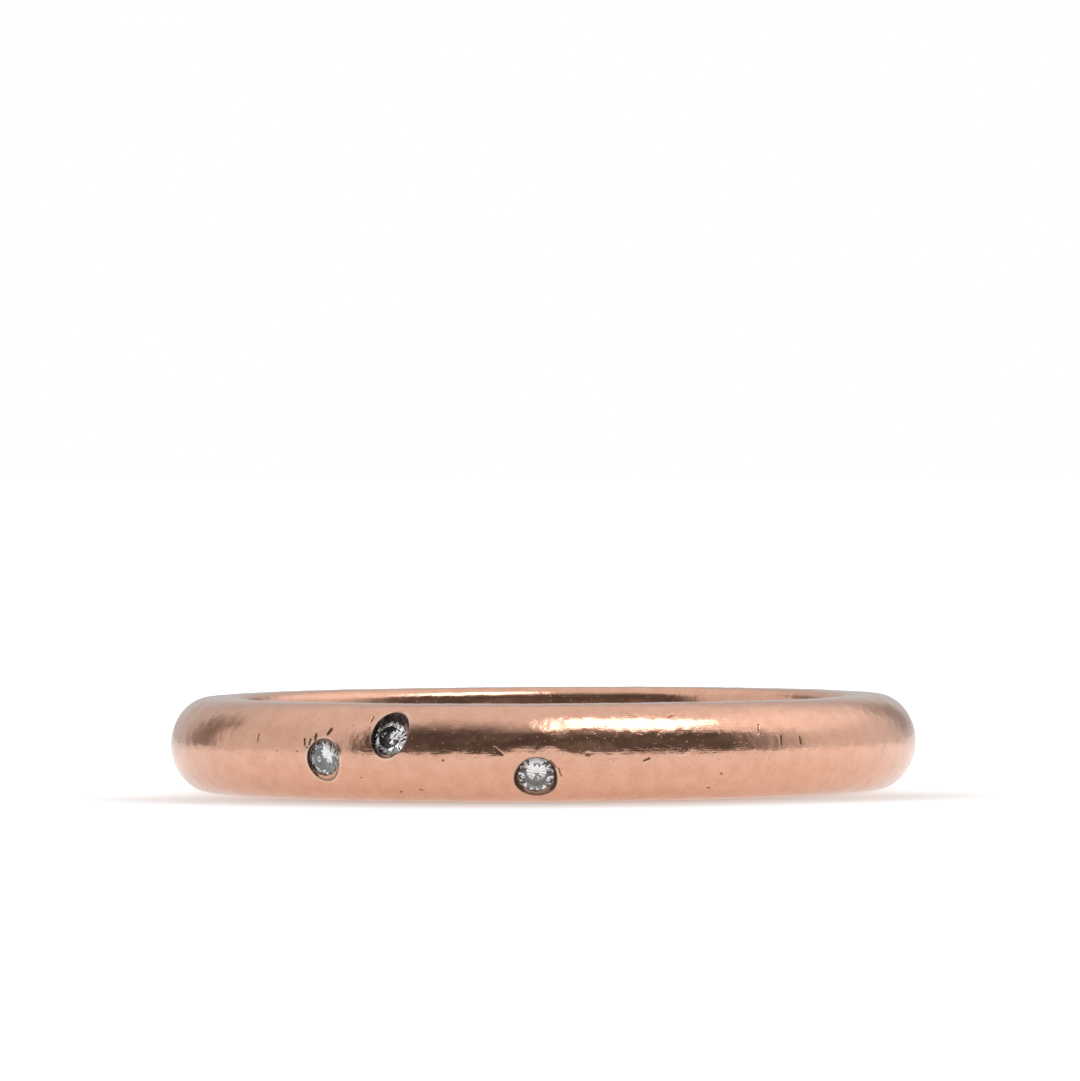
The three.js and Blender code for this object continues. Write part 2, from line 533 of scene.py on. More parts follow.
    def make(self, nicks: list[tuple[Flat, Nick]]) -> bpy.types.Material:
        """Builds the material.

        Args:
            nicks: each nick, after its place on the unrolled surface.

        Returns:
            The material.
        """
        material = bpy.data.materials.new("rose_gold")
        desk = Desk.cleared(material)
        body = desk.scaled(desk.node("ShaderNodeTexCoord").outputs["Object"], 1 / MM)
        place = desk.node("ShaderNodeUVMap", uv_map=Mark.WRAP.value).outputs[0]
        # Here this mask is only the dirt that scratches and pits hold.
        height, dirt_and_shadow = self.relief(desk, body, place)
        depth, marked = self.nicked(desk, place, nicks)
        height = desk.minus(height, depth)
        blotch = desk.ramp(desk.noise(body, self.BLOTCHES), *self.BLOTCH_RANGE)
        metal = desk.blend(blotch, self.bright, self.dull)
        # Painted highlight: the lips of the seats take a much lighter colour, through the swell attribute.
        painted_lip_highlight = desk.times(self.attribute(desk, Mark.SWELL), self.painted_highlight_share)
        metal = desk.blend(painted_lip_highlight, metal, self.painted_highlight)
        held = desk.highest(dirt_and_shadow, desk.times(marked, self.held[2]))
        metal = desk.blend(held, metal, self.grime)
        crust = desk.ramp(desk.noise(body, self.CRUST), *self.CRUST_RANGE)
        film = desk.blend(crust, self.tarnish, self.soot)
        tarnished = desk.times(self.attribute(desk, Mark.TARNISH), self.tarnish_gain)
        black = desk.math("MINIMUM", tarnished, 1.0)
        color = desk.blend(black, metal, film)
        middle, smeared = self.polish
        smears = desk.math("MULTIPLY_ADD", desk.noise(body, self.SMEARS), smeared, middle - smeared / 2)
        roughness = desk.mix(held, smears, self.tarnish_roughness)
        roughness = desk.mix(black, roughness, self.tarnish_roughness)
        bump = desk.node("ShaderNodeBump", {"Height": height, "Distance": MM, "Strength": 1.0})
        inputs = {"Base Color": color, "Metallic": 1.0, "Roughness": roughness, "Normal": bump.outputs[0]}
        shader = desk.node("ShaderNodeBsdfPrincipled", inputs)
        desk.node("ShaderNodeOutputMaterial", {"Surface": shader.outputs[0]})
        return material


@dataclass(frozen=True)
class Diamond:
    """A clear diamond with a frosted girdle, and a painted shadow film on its crown under its upper rim.

    Attributes:
        tint: the stone's colour.
        ior: its index of refraction.
        frost: the roughness of its girdle.
        smear: the roughness of the smears on its facets.
        dirt_and_shadow: the colour of the painted shadow film.
        shadow_film_roughness: the film's roughness.
        shadow_film_share: how much the film covers.
        shadow_film_from_mm: the distances from the stone's axis between which the film comes in.
        shadow_film_above_mm: the places up across the stone between which it comes in.
    """

    tint: Color = (0.97, 0.98, 1.0)
    ior: float = 2.417
    frost: float = 0.35
    smear: float = 0.02
    dirt_and_shadow: Color = (0.09, 0.078, 0.07)
    shadow_film_roughness: float = 0.5
    shadow_film_share: float = 0.6
    shadow_film_from_mm: Span = (0.33, 0.45)
    shadow_film_above_mm: Span = (-0.12, 0.25)

    SHADOW_FILM_SPOTS = Noise(9.0, 3.0)
    SPOT_RANGE = (0.25, 0.6, 0.45, 1.0)
    SMEARS = Noise(4.0, 3.0)
    SMEAR_RANGE = (0.5, 0.8)
    GIRDLE_RANGE = (0.4, 0.7)

    def make(self, name: str, place: Matrix, girdle_mm: float) -> bpy.types.Material:
        """Builds the material for one stone.

        Args:
            name: the stone's name.
            place: the stone's own frame, with its girdle's upper edge at z 0.
            girdle_mm: the girdle's height.

        Returns:
            The material.
        """
        material = bpy.data.materials.new(name)
        desk = Desk.cleared(material)
        body = desk.node("ShaderNodeTexCoord").outputs["Object"]
        turn = place.to_3x3().inverted().to_euler()
        inputs = {"Vector": desk.vector("SUBTRACT", body, tuple(place.translation)), "Rotation": tuple(turn)}
        own = desk.node("ShaderNodeMapping", inputs, vector_type="POINT").outputs[0]
        own = desk.scaled(own, 1 / MM)
        side, up, height = desk.split(own)
        # Painted shadow: a dark film on the upper edge of the crown, under the metal above it.
        film = desk.times(
            desk.ramp(desk.length(desk.joined(side, up)), *self.shadow_film_from_mm),
            desk.ramp(up, *self.shadow_film_above_mm),
            desk.ramp(desk.noise(own, self.SHADOW_FILM_SPOTS), *self.SPOT_RANGE),
            desk.math("GREATER_THAN", height, 0.0),
            self.shadow_film_share,
        )
        middle = desk.math("ABSOLUTE", desk.plus(height, girdle_mm / 2))
        girdle = desk.fade(middle, *(girdle_mm * share for share in self.GIRDLE_RANGE))
        smears = desk.times(desk.ramp(desk.noise(own, self.SMEARS), *self.SMEAR_RANGE), self.smear)
        inputs = {
            "Base Color": self.tint, "Roughness": desk.mix(girdle, smears, self.frost), "IOR": self.ior,
            "Transmission Weight": 1.0,
        }
        clear = desk.node("ShaderNodeBsdfPrincipled", inputs)
        inputs = {"Base Color": self.dirt_and_shadow, "Roughness": self.shadow_film_roughness}
        dirt_and_shadow = desk.node("ShaderNodeBsdfPrincipled", inputs)
        both = desk.node("ShaderNodeMixShader", {0: film, 1: clear.outputs[0], 2: dirt_and_shadow.outputs[0]})
        desk.node("ShaderNodeOutputMaterial", {"Surface": both.outputs[0]})
        return material


@dataclass(frozen=True)
class Section:
    """The band's section: a half-elliptical dome, flat side faces and softened hole edges.

    Attributes:
        hole_radius: the radius of the finger hole.
        side_radius: the outer radius of the flat side faces.
        dome_depth: how far the dome stands out beyond them.
        half_width: half the width of the band.
        edge_radius: the softened edge between the hole and a side face.
        dome_steps: how finely the dome is divided to measure along it.
    """

    hole_radius: float
    side_radius: float
    dome_depth: float
    half_width: float
    edge_radius: float
    dome_steps: int = 256

    @classmethod
    def of_node(cls, node: str, dome_depth: float, edge_radius: float) -> "Section":
        """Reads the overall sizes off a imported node, and takes the rest as given."""
        low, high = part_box(node)
        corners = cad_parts[node].data.vertices
        hole = min(math.hypot(corner.co.x, corner.co.y) for corner in corners)
        return cls(hole, high.x - dome_depth, dome_depth, (high.z - low.z) / 2, edge_radius)

    def dome_table(self) -> tuple[np.ndarray, np.ndarray]:
        """Divides the dome.

        Returns:
            Points along it, from its lower edge up, and the way to each of them.
        """
        climb = np.linspace(-math.pi / 2, math.pi / 2, self.dome_steps + 1)
        radius = self.side_radius + self.dome_depth * np.cos(climb)
        height = self.half_width * (1 + np.sin(climb))
        points = np.stack([radius, height], 1)
        way = np.concatenate([[0.0], np.cumsum(np.linalg.norm(np.diff(points, axis=0), axis=1))])
        return points, way

    def dome_length(self) -> float:
        """Gives the way over the whole dome."""
        return float(self.dome_table()[1][-1])

    def way_to(self, rise: float) -> float:
        """Gives the way over the dome to a height above its middle, as a share of the half width."""
        points, way = self.dome_table()
        return float(np.interp(self.half_width * (1 + rise), points[:, 1], way))

    def dome_point(self, around: float, way: float) -> Vector:
        """Gives a point on the dome.

        Args:
            around: the angle round the band.
            way: the way over the dome from its lower edge.

        Returns:
            The point.
        """
        points, ways = self.dome_table()
        radius, height = (float(np.interp(way, ways, points[:, axis])) for axis in (0, 1))
        return Vector(on_circle(around, radius, height))

    def tangent_frame(self, around: float, rise: float, tip: float) -> Matrix:
        """Gives the frame of a seat: x along the band, y up across it and z out of the metal.

        Args:
            around: the angle round the band.
            rise: the height above the middle, as a share of the half width.
            tip: how far the frame is turned up from standing square to the dome.

        Returns:
            The frame.
        """
        climb = math.asin(rise)
        square = math.atan2(math.sin(climb) / self.half_width, math.cos(climb) / self.dome_depth)
        along = Vector((math.cos(around), math.sin(around), 0.0))
        radial = Vector(on_circle(around, 1.0, 0.0))
        out = radial * math.cos(square + tip) + Vector((0.0, 0.0, math.sin(square + tip)))
        across = out.cross(along)
        middle = radial * (self.side_radius + self.dome_depth * math.cos(climb))
        middle.z = self.half_width * (1 + rise)
        return Matrix.Translation(middle) @ Matrix((along, across, out)).transposed().to_4x4()


@dataclass(frozen=True)
class StoneCut:
    """The sizes of a stone and of the metal round it, in millimetres."""

    diameter_mm: float = 1.0
    crown_mm: float = 0.12
    girdle_mm: float = 0.03
    pavilion_mm: float = 0.4
    clearance_mm: float = 0.02
    rim_overlap_mm: float = 0.02

    @property
    def radius_mm(self) -> float:
        """The radius at the girdle."""
        return self.diameter_mm / 2


@dataclass(frozen=True)
class Seat:
    """One stone's seat in the dome. Lengths are shares of the stone's diameter.

    Attributes:
        stone: the node of its stone.
        around: the angle round the band, in degrees.
        rise: the height above the dome's middle, as a share of the half width.
        tip: how far the stone is turned up from standing square to the dome, in degrees.
        sunk: how far the stone's table lies below the metal.
        spin: the turn of the stone on its own axis, in degrees; not used.
        wide: the width of the mouth.
        tall: the height of the mouth.
        shift: how far the mouth lies above the stone.
        lean: the turn of the mouth, in degrees.
        waver: how uneven the mouth's outline is, one (waves, size, phase) for each wave.
        black: how black its wall is below the mouth, and further down.
        bright_cut: the direction in degrees in which its wall is cut bright, and how bright.
        line: how dark the line is that is painted along the mouth's edge.
        lip_swell_and_highlight: how much the metal round the mouth swells and takes the painted highlight.
        heave: how far the metal above the mouth is pushed out, in millimetres.
    """

    stone: str
    around: float
    rise: float
    tip: float
    sunk: float
    spin: float
    wide: float
    tall: float
    shift: float
    lean: float
    waver: tuple[tuple[int, float, float], ...] = ()
    black: Span = (1.0, 1.0)
    bright_cut: Span = (0.0, 0.0)
    line: float = 0.0
    lip_swell_and_highlight: float = 1.0
    heave: float = 0.0

    CUT_SPREAD = 1.6
    CUT_WHOLE_AT = 0.4
    LINE_ENDS_AT = 0.12

    def tarnish_at(self, angle: float, inward: float) -> float:
        """Gives how black the wall is at a place.

        Args:
            angle: the direction of the place.
            inward: how far down it is, from the mouth (0) to the rim (1).

        Returns:
            The black, from 0 to 1.
        """
        side, amount = self.bright_cut
        upper, lower = self.black
        facing = max(0.0, math.cos(angle - math.radians(side)))
        black = upper + (lower - upper) * inward
        cut = amount * min(1.0, self.CUT_SPREAD * facing) * min(1.0, inward / self.CUT_WHOLE_AT)
        return black * max(self.line, min(1.0, inward / self.LINE_ENDS_AT)) * (1 - cut)

    def frame(self, section: Section) -> Matrix:
        """Gives the seat's frame on a section."""
        return section.tangent_frame(math.radians(self.around), self.rise, math.radians(self.tip))

    def outline_mm(self, angle: float, cut: StoneCut) -> float:
        """Gives how far the mouth's edge is from its middle.

        Args:
            angle: the direction.
            cut: the stone's sizes.

        Returns:
            The distance.
        """
        wide = self.wide * cut.radius_mm
        tall = self.tall * cut.radius_mm
        turned = angle - math.radians(self.lean)
        plain = wide * tall / math.hypot(tall * math.cos(turned), wide * math.sin(turned))
        return plain * (1 + sum(size * math.cos(waves * angle + phase) for waves, size, phase in self.waver))

    def middle_mm(self, cut: StoneCut) -> Vector:
        """Gives the middle of the mouth, in the seat's frame."""
        lean = math.radians(self.lean)
        return Vector((-math.sin(lean), math.cos(lean))) * self.shift * cut.diameter_mm

    def girdle_level_mm(self, cut: StoneCut) -> float:
        """Gives the height of the girdle's upper edge, in the seat's frame."""
        return -self.sunk * cut.diameter_mm - cut.crown_mm


@dataclass
class Sheet:
    """The vertices and faces of the band before Geometry Nodes roll it up."""

    around: list[float] = field(default_factory=list)
    part: list[int] = field(default_factory=list)
    share: list[float] = field(default_factory=list)
    placed: list[tuple[float, float, float]] = field(default_factory=list)
    skin: list[float] = field(default_factory=list)
    swell: list[float] = field(default_factory=list)
    tarnish: list[float] = field(default_factory=list)
    unrolled: list[Flat] = field(default_factory=list)
    faces: list[tuple[int, ...]] = field(default_factory=list)

    def on_section(self, around: float, part: Part, share: float, unrolled: Flat,
                   skin: float = 1.0, swell: float = 0.0) -> int:
        """Adds a vertex that lies on the band's section.

        Args:
            around: its angle round the band.
            part: the stretch of the section that it lies on.
            share: how far along that stretch.
            unrolled: its place on the unrolled surface, in millimetres.
            skin: how much of the unevenness and wear it takes.
            swell: how much of the lip's swelling and painted highlight it takes.

        Returns:
            Its number.
        """
        self.around.append(around)
        self.part.append(int(part))
        self.share.append(share)
        self.placed.append((0.0, 0.0, 0.0))
        self.skin.append(skin)
        self.swell.append(swell)
        self.tarnish.append(0.0)
        self.unrolled.append(unrolled)
        return len(self.around) - 1

    def in_seat(self, place: Vector, unrolled: Flat, tarnish: float) -> int:
        """Adds a vertex inside a seat, where it already has its place.

        Args:
            place: its place.
            unrolled: its place on the unrolled surface, in millimetres.
            tarnish: how black the metal is there.

        Returns:
            Its number.
        """
        number = self.on_section(0.0, Part.SEAT, 0.0, unrolled, skin=0.0)
        self.placed[number] = tuple(place)
        self.tarnish[number] = tarnish
        return number

    def strip(self, outer: list[int], inner: list[int]) -> None:
        """Joins two closed rows of vertices that run anticlockwise, the second inside the first."""
        for i, corner in enumerate(outer):
            following = (i + 1) % len(outer)
            self.faces.append((corner, outer[following], inner[following], inner[i]))

    def seat_ring(self, place: Matrix, ring: list[int], spots: list[Vector], centre: Flat,
                  tarnish: list[float]) -> list[int]:
        """Adds one ring inside a seat and joins it to the one before.

        Args:
            place: the seat's frame.
            ring: the ring before.
            spots: the new ring's places in that frame, in millimetres.
            centre: the seat's place on the unrolled surface.
            tarnish: how black each place is.

        Returns:
            The new ring's vertices.
        """
        u, v = centre
        made = [
            self.in_seat(place @ (spot * MM), (u + spot.x, v + spot.y), black)
            for spot, black in zip(spots, tarnish)
        ]
        self.strip(ring, made)
        return made

    def mesh(self, name: str, round_mm: float, section_mm: float) -> bpy.types.Mesh:
        """Makes the mesh, with its attributes and its unrolled map.

        Args:
            name: the mesh's name.
            round_mm: the length of the unrolled surface, where the map meets itself.
            section_mm: its height, where the map meets itself.

        Returns:
            The mesh.
        """
        mesh = plain_mesh(name, self.placed, [], self.faces)
        columns = {
            Mark.AROUND: self.around, Mark.PART: self.part, Mark.SHARE: self.share,
            Mark.SKIN: self.skin, Mark.SWELL: self.swell, Mark.TARNISH: self.tarnish,
        }
        for mark, values in columns.items():
            mesh.attributes.new(mark.value, mark.kind, "POINT").data.foreach_set("value", values)
        corners = np.zeros(len(mesh.loops), np.int32)
        mesh.loops.foreach_get("vertex_index", corners)
        places = np.array(self.unrolled)[corners]
        starts = np.zeros(len(mesh.polygons), np.int32)
        mesh.polygons.foreach_get("loop_start", starts)
        counts = np.diff(np.append(starts, len(corners)))
        for axis, whole in enumerate((round_mm, section_mm)):
            highest = np.maximum.reduceat(places[:, axis], starts)
            behind = np.repeat(highest, counts) - places[:, axis] > whole / 2
            places[behind, axis] += whole
        mesh.uv_layers.new(name=Mark.WRAP.value).data.foreach_set("uv", places.ravel())
        return mesh


@dataclass
class Band:
    """The band: its sheet with the seats worked in, rolled up and worn by Geometry Nodes.

    Attributes:
        section: its section.
        cut: the stones' sizes.
        seats: the stones' seats.
        nicks: the nicks in it.
        finish: its metal.
        columns: how finely it is divided round the finger hole.
        crowding: how much closer together the columns are at the front.
        stations: how finely each stretch of the section is divided.
        patch_half_mm: half the width of the patch round a seat.
        patch_rings: how many rings the patch has outside the mouth.
        patch_crowding: how much closer together they are at the mouth.
        wall_steps: how far in the rings of a seat's wall are, from the mouth (0) to the rim (1).
        wall_curve: how much steeper the wall is at the mouth.
        wall_lip: how far in the wall stays level, where the lip is rounded over.
        cone_steps: how far down the rings of the cone under the stone are.
        tool_mark: the size of the marks that the cutting tool leaves in the wall.
        tool_waves: how many marks there are round it, and the size and number of their drifts.
        swell_width_mm: the width of the swollen lip.
        line_width_mm: the width of the dark line along it.
        swell_height: the lip's height.
        unevenness: the size of the soft waves in the surface.
        dent_depth: the depth of a dent.
        dent_radius: the radius of a dent.
        dent_density: the number of dents in a square metre.
        nick_width: half the width of a nick.
        heave_reach: how far from the middle of a seat the metal is heaved up.
        heave_width: the width of that ridge.
        seed: the seed of the dents' places.
    """

    section: Section
    cut: StoneCut
    seats: tuple[Seat, ...]
    nicks: tuple[Nick, ...]
    finish: RoseGold
    columns: int = 980
    crowding: float = 0.4
    stations: tuple[tuple[Part, int], ...] = (
        (Part.LOWER_EDGE, 4), (Part.LOWER_SIDE, 3), (Part.DOME, 64),
        (Part.UPPER_SIDE, 3), (Part.UPPER_EDGE, 4), (Part.HOLE_WALL, 8),
    )
    patch_half_mm: float = 0.82
    patch_rings: int = 9
    patch_crowding: float = 1.5
    wall_steps: tuple[float, ...] = (0.05, 0.12, 0.2, 0.32, 0.5, 0.72, 0.9, 1.0)
    wall_curve: float = 2.2
    wall_lip: float = 0.06
    cone_steps: tuple[float, ...] = (0.3, 0.6, 0.85)
    tool_mark: float = 0.012
    tool_waves: tuple[int, int, int] = (13, 4, 3)
    swell_width_mm: float = 0.06
    line_width_mm: float = 0.024
    swell_height: float = 0.006 * MM
    unevenness: float = 0.017 * MM
    dent_depth: float = 0.005 * MM
    dent_radius: float = 0.11 * MM
    dent_density: float = 1.5e6
    nick_width: float = 0.05 * MM
    heave_reach: float = 1.1 * MM
    heave_width: float = 0.3 * MM
    seed: int = 7

    def part_lengths_mm(self) -> dict[Part, float]:
        """Measures the section.

        Returns:
            The length of each stretch of it.
        """
        section = self.section
        quarter = section.edge_radius * math.pi / 2
        side = section.side_radius - section.hole_radius - section.edge_radius
        wall = 2 * (section.half_width - section.edge_radius)
        lengths = {
            Part.LOWER_EDGE: quarter, Part.LOWER_SIDE: side, Part.DOME: section.dome_length(),
            Part.UPPER_SIDE: side, Part.UPPER_EDGE: quarter, Part.HOLE_WALL: wall,
        }
        return {part: length / MM for part, length in lengths.items()}

    def rows(self) -> list[tuple[Part, float, float]]:
        """Divides the section.

        Returns:
            Each row's stretch, its share of that stretch and its way round the section in mm.
        """
        lengths = self.part_lengths_mm()
        found = []
        start = 0.0
        for part, count in self.stations:
            found += [(part, i / count, start + lengths[part] * i / count) for i in range(count)]
            start += lengths[part]
        return found

    def angles(self) -> np.ndarray:
        """Gives the angle of each column, closer together at the front."""
        even = np.linspace(-math.pi, math.pi, self.columns, endpoint=False)
        return even - self.crowding * np.sin(even)

    def unroll_radius_mm(self) -> float:
        """Gives the radius at which the surface is unrolled, that of the dome's crest."""
        return (self.section.side_radius + self.section.dome_depth) / MM

    def unrolled_mm(self, spot: Seat | Nick) -> Flat:
        """Gives the place of a seat or a nick on the unrolled surface.

        Args:
            spot: the seat or the nick.

        Returns:
            The place.
        """
        lengths = self.part_lengths_mm()
        start = lengths[Part.LOWER_EDGE] + lengths[Part.LOWER_SIDE]
        way = self.section.way_to(spot.rise) / MM
        return math.radians(spot.around) * self.unroll_radius_mm(), start + way

    def sheet(self) -> Sheet:
        """Lays out the sheet, with a patch for each seat.

        Returns:
            The sheet.
        """
        sheet = Sheet()
        rows = self.rows()
        angles = self.angles()
        radius = self.unroll_radius_mm()
        for around in angles:
            for part, share, way in rows:
                sheet.on_section(float(around), part, share, (float(around) * radius, way))
        count = len(rows)
        patches = [(seat, *self.patch_range(seat, angles, rows)) for seat in self.seats]
        taken = {
            (i, j) for _, columns, levels in patches
            for i in range(*columns) for j in range(*levels)
        }
        for i in range(self.columns):
            for j in range(count):
                if (i, j) not in taken:
                    right, above = (i + 1) % self.columns, (j + 1) % count
                    corners = (i * count + j, right * count + j, right * count + above, i * count + above)
                    sheet.faces.append(corners)
        for seat, columns, levels in patches:
            self.work_seat(sheet, seat, self.perimeter(columns, levels, count))
        return sheet

    def patch_range(self, seat: Seat, angles: np.ndarray, rows: list) -> tuple[tuple, tuple]:
        """Finds the square of cells that a seat's patch takes up.

        Args:
            seat: the seat.
            angles: the columns' angles.
            rows: the section's rows.

        Returns:
            The first and last column, and the first and last row.
        """
        centre = math.radians(seat.around)
        reach = self.patch_half_mm / self.unroll_radius_mm()
        inside = np.flatnonzero(np.abs(angles - centre) < reach)
        middle = self.section.way_to(seat.rise) / MM
        length = self.part_lengths_mm()[Part.DOME]
        levels = [
            j for j, (part, share, _) in enumerate(rows)
            if part is Part.DOME and abs(share * length - middle) < self.patch_half_mm
        ]
        return (int(inside[0]), int(inside[-1])), (levels[0], levels[-1])

    @staticmethod
    def perimeter(columns: tuple[int, int], levels: tuple[int, int], count: int) -> list[int]:
        """Lists a patch's outer vertices anticlockwise, as they are seen from outside.

        Args:
            columns: its first and last column.
            levels: its first and last row.
            count: how many rows the sheet has.

        Returns:
            The vertices.
        """
        left, right = columns
        low, high = levels
        walk = [(i, low) for i in range(left, right)]
        walk += [(right, j) for j in range(low, high)]
        walk += [(i, high) for i in range(right, left, -1)]
        walk += [(left, j) for j in range(high, low, -1)]
        return [i * count + j for i, j in walk]

    def work_seat(self, sheet: Sheet, seat: Seat, outer: list[int]) -> None:
        """Fills one patch: rings closing in on the mouth, its lip and wall, the bearing and the cone.

        Args:
            sheet: the sheet that is being laid out.
            seat: the seat.
            outer: the vertices round the patch.
        """
        dome = self.part_lengths_mm()[Part.DOME]
        centre = math.radians(seat.around)
        level = self.section.way_to(seat.rise)
        way = level / MM
        place = seat.frame(self.section)
        radius = math.hypot(place.translation.x, place.translation.y) / MM
        middle = seat.middle_mm(self.cut)
        u, v = self.unrolled_mm(seat)
        starts, edges = [], []
        for vertex in outer:
            start = Vector(((sheet.around[vertex] - centre) * radius, sheet.share[vertex] * dome - way))
            ray = start - middle
            starts.append(start)
            edges.append(middle + ray.normalized() * seat.outline_mm(math.atan2(ray.y, ray.x), self.cut))
        ring = outer
        for k in range(1, self.patch_rings + 1):
            left = (1 - k / self.patch_rings) ** self.patch_crowding
            closer = []
            for start, edge in zip(starts, edges):
                spot = edge.lerp(start, left)
                apart = (spot - edge).length
                swell = math.exp(-((apart / self.swell_width_mm) ** 2))
                # The swell also sets how much painted highlight the lip takes.
                vertex = sheet.on_section(centre + spot.x / radius, Part.DOME, (way + spot.y) / dome,
                                          (u + spot.x, v + spot.y), 1 - swell, swell * seat.lip_swell_and_highlight)
                sheet.tarnish[vertex] = seat.line * math.exp(-((apart / self.line_width_mm) ** 2))
                closer.append(vertex)
            sheet.strip(ring, closer)
            ring = closer
        out = place.inverted()
        tops = [
            out @ self.section.dome_point(centre + edge.x / radius, level + edge.y * MM) / MM
            for edge in edges
        ]
        self.sink_seat(sheet, seat, place, ring, tops)

    def sink_seat(self, sheet: Sheet, seat: Seat, place: Matrix, ring: list[int],
                  tops: list[Vector]) -> None:
        """Carries a seat down from its mouth to the point of its cone.

        Args:
            sheet: the sheet that is being laid out.
            seat: the seat.
            place: the seat's frame.
            ring: the vertices of the mouth's edge.
            tops: their places in that frame, in millimetres.
        """
        cut = self.cut
        centre = self.unrolled_mm(seat)
        girdle = seat.girdle_level_mm(cut)
        rim_level = girdle + 2 * cut.clearance_mm
        rim = cut.radius_mm - cut.rim_overlap_mm
        marks, drift, drifts = self.tool_waves
        angles = [math.atan2(top.y, top.x) for top in tops]
        outward = [Vector((top.x, top.y, 0.0)).normalized() for top in tops]
        for inward in self.wall_steps:
            level_lip = inward / (inward + self.wall_lip)
            fall = (1 - (1 - inward) ** self.wall_curve) * level_lip * (1 + self.wall_lip)
            spots = []
            for top, angle, side in zip(tops, angles, outward):
                chatter = math.sin(marks * angle + drift * math.sin(drifts * angle))
                ripple = self.tool_mark * math.sin(math.pi * inward) * chatter
                spot = top.lerp(side * rim, inward) * (1 + ripple)
                spot.z = top.z + (rim_level - top.z) * fall
                spots.append(spot)
            black = [seat.tarnish_at(angle, inward) for angle in angles]
            ring = sheet.seat_ring(place, ring, spots, centre, black)
        bearing = cut.radius_mm + cut.clearance_mm
        below = girdle - cut.girdle_mm - cut.clearance_mm / 2
        point = girdle - cut.girdle_mm - cut.pavilion_mm - 2 * cut.clearance_mm
        steps = [(bearing, girdle + cut.clearance_mm / 2), (bearing, below)]
        steps += [(bearing * (1 - down), below + (point - below) * down) for down in self.cone_steps]
        for reach, level in steps:
            spots = [side * reach + Vector((0, 0, level)) for side in outward]
            ring = sheet.seat_ring(place, ring, spots, centre, [1.0] * len(spots))
        tip = sheet.in_seat(place @ Vector((0, 0, point * MM)), centre, 1.0)
        for i, corner in enumerate(ring):
            sheet.faces.append((corner, ring[(i + 1) % len(ring)], tip))

    def nick_lines(self) -> bpy.types.Object:
        """Makes the lines that the nicks follow.

        Returns:
            The lines, each with its nick's depth.
        """
        points, edges, depths = [], [], []
        radius = self.unroll_radius_mm()
        for nick in self.nicks:
            way = self.section.way_to(nick.rise)
            turn = math.radians(nick.turn)
            for step, share in enumerate((-0.5, 0.0, 0.5)):
                run = nick.length_mm * share
                around = math.radians(nick.around) + run * math.cos(turn) / radius
                points.append(self.section.dome_point(around, way + run * math.sin(turn) * MM))
                depths.append(nick.depth_mm * MM)
                if step:
                    edges.append((len(points) - 2, len(points) - 1))
        mesh = plain_mesh("nick_lines", points, edges, [])
        depth = mesh.attributes.new(Mark.DEPTH.value, Mark.DEPTH.kind, "POINT")
        depth.data.foreach_set("value", depths)
        return put("nick_lines", mesh)

    def tree_values(self, lines: bpy.types.Object) -> dict[str, object]:
        """Lists what goes into the tree.

        Args:
            lines: the lines that the nicks follow.

        Returns:
            The values of the tree's inputs, by name.
        """
        section = self.section
        heaved = max(self.seats, key=lambda seat: seat.heave)
        nicks = [(self.unrolled_mm(nick), nick) for nick in self.nicks]
        return {
            "Hole Radius": section.hole_radius, "Side Radius": section.side_radius,
            "Dome Depth": section.dome_depth, "Half Width": section.half_width,
            "Edge Radius": section.edge_radius, "Dome Steps": section.dome_steps,
            "Unevenness": self.unevenness, "Swell Height": self.swell_height,
            "Dent Depth": self.dent_depth, "Dent Radius": self.dent_radius,
            "Dent Density": self.dent_density, "Nick Lines": lines, "Nick Width": self.nick_width,
            "Seed": self.seed, "Finish": self.finish.make(nicks),
            "Heave Place": heaved.frame(section).translation, "Heave": heaved.heave * MM,
            "Heave Reach": self.heave_reach, "Heave Width": self.heave_width,
        }

    def build(self) -> bpy.types.Object:
        """Lays out the sheet and runs the tree on it.

        Returns:
            The finished band.
        """
        section_mm = sum(self.part_lengths_mm().values())
        round_mm = 2 * math.pi * self.unroll_radius_mm()
        band = put("band_skin", self.sheet().mesh("band_skin", round_mm, section_mm))
        lines = self.nick_lines()
        modifier = band.modifiers.new("rolling", "NODES")
        modifier.node_group = RollingTree().make()
        sockets = modifier.node_group.interface.items_tree
        identifiers = {socket.name: socket.identifier for socket in sockets if socket.in_out == "INPUT"}
        for name, value in self.tree_values(lines).items():
            modifier[identifiers[name]] = value
        bpy.context.view_layer.update()
        graph = bpy.context.evaluated_depsgraph_get()
        shown = bpy.data.meshes.new_from_object(
            band.evaluated_get(graph), preserve_all_data_layers=True, depsgraph=graph)
        band.modifiers.clear()
        band.data = shown
        shown.name = "band_skin"
        for mark in (Mark.AROUND, Mark.PART, Mark.SHARE, Mark.SKIN):
            shown.attributes.remove(shown.attributes[mark.value])
        bpy.data.objects.remove(lines)
        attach(band, "root")
        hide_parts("band")
        return band


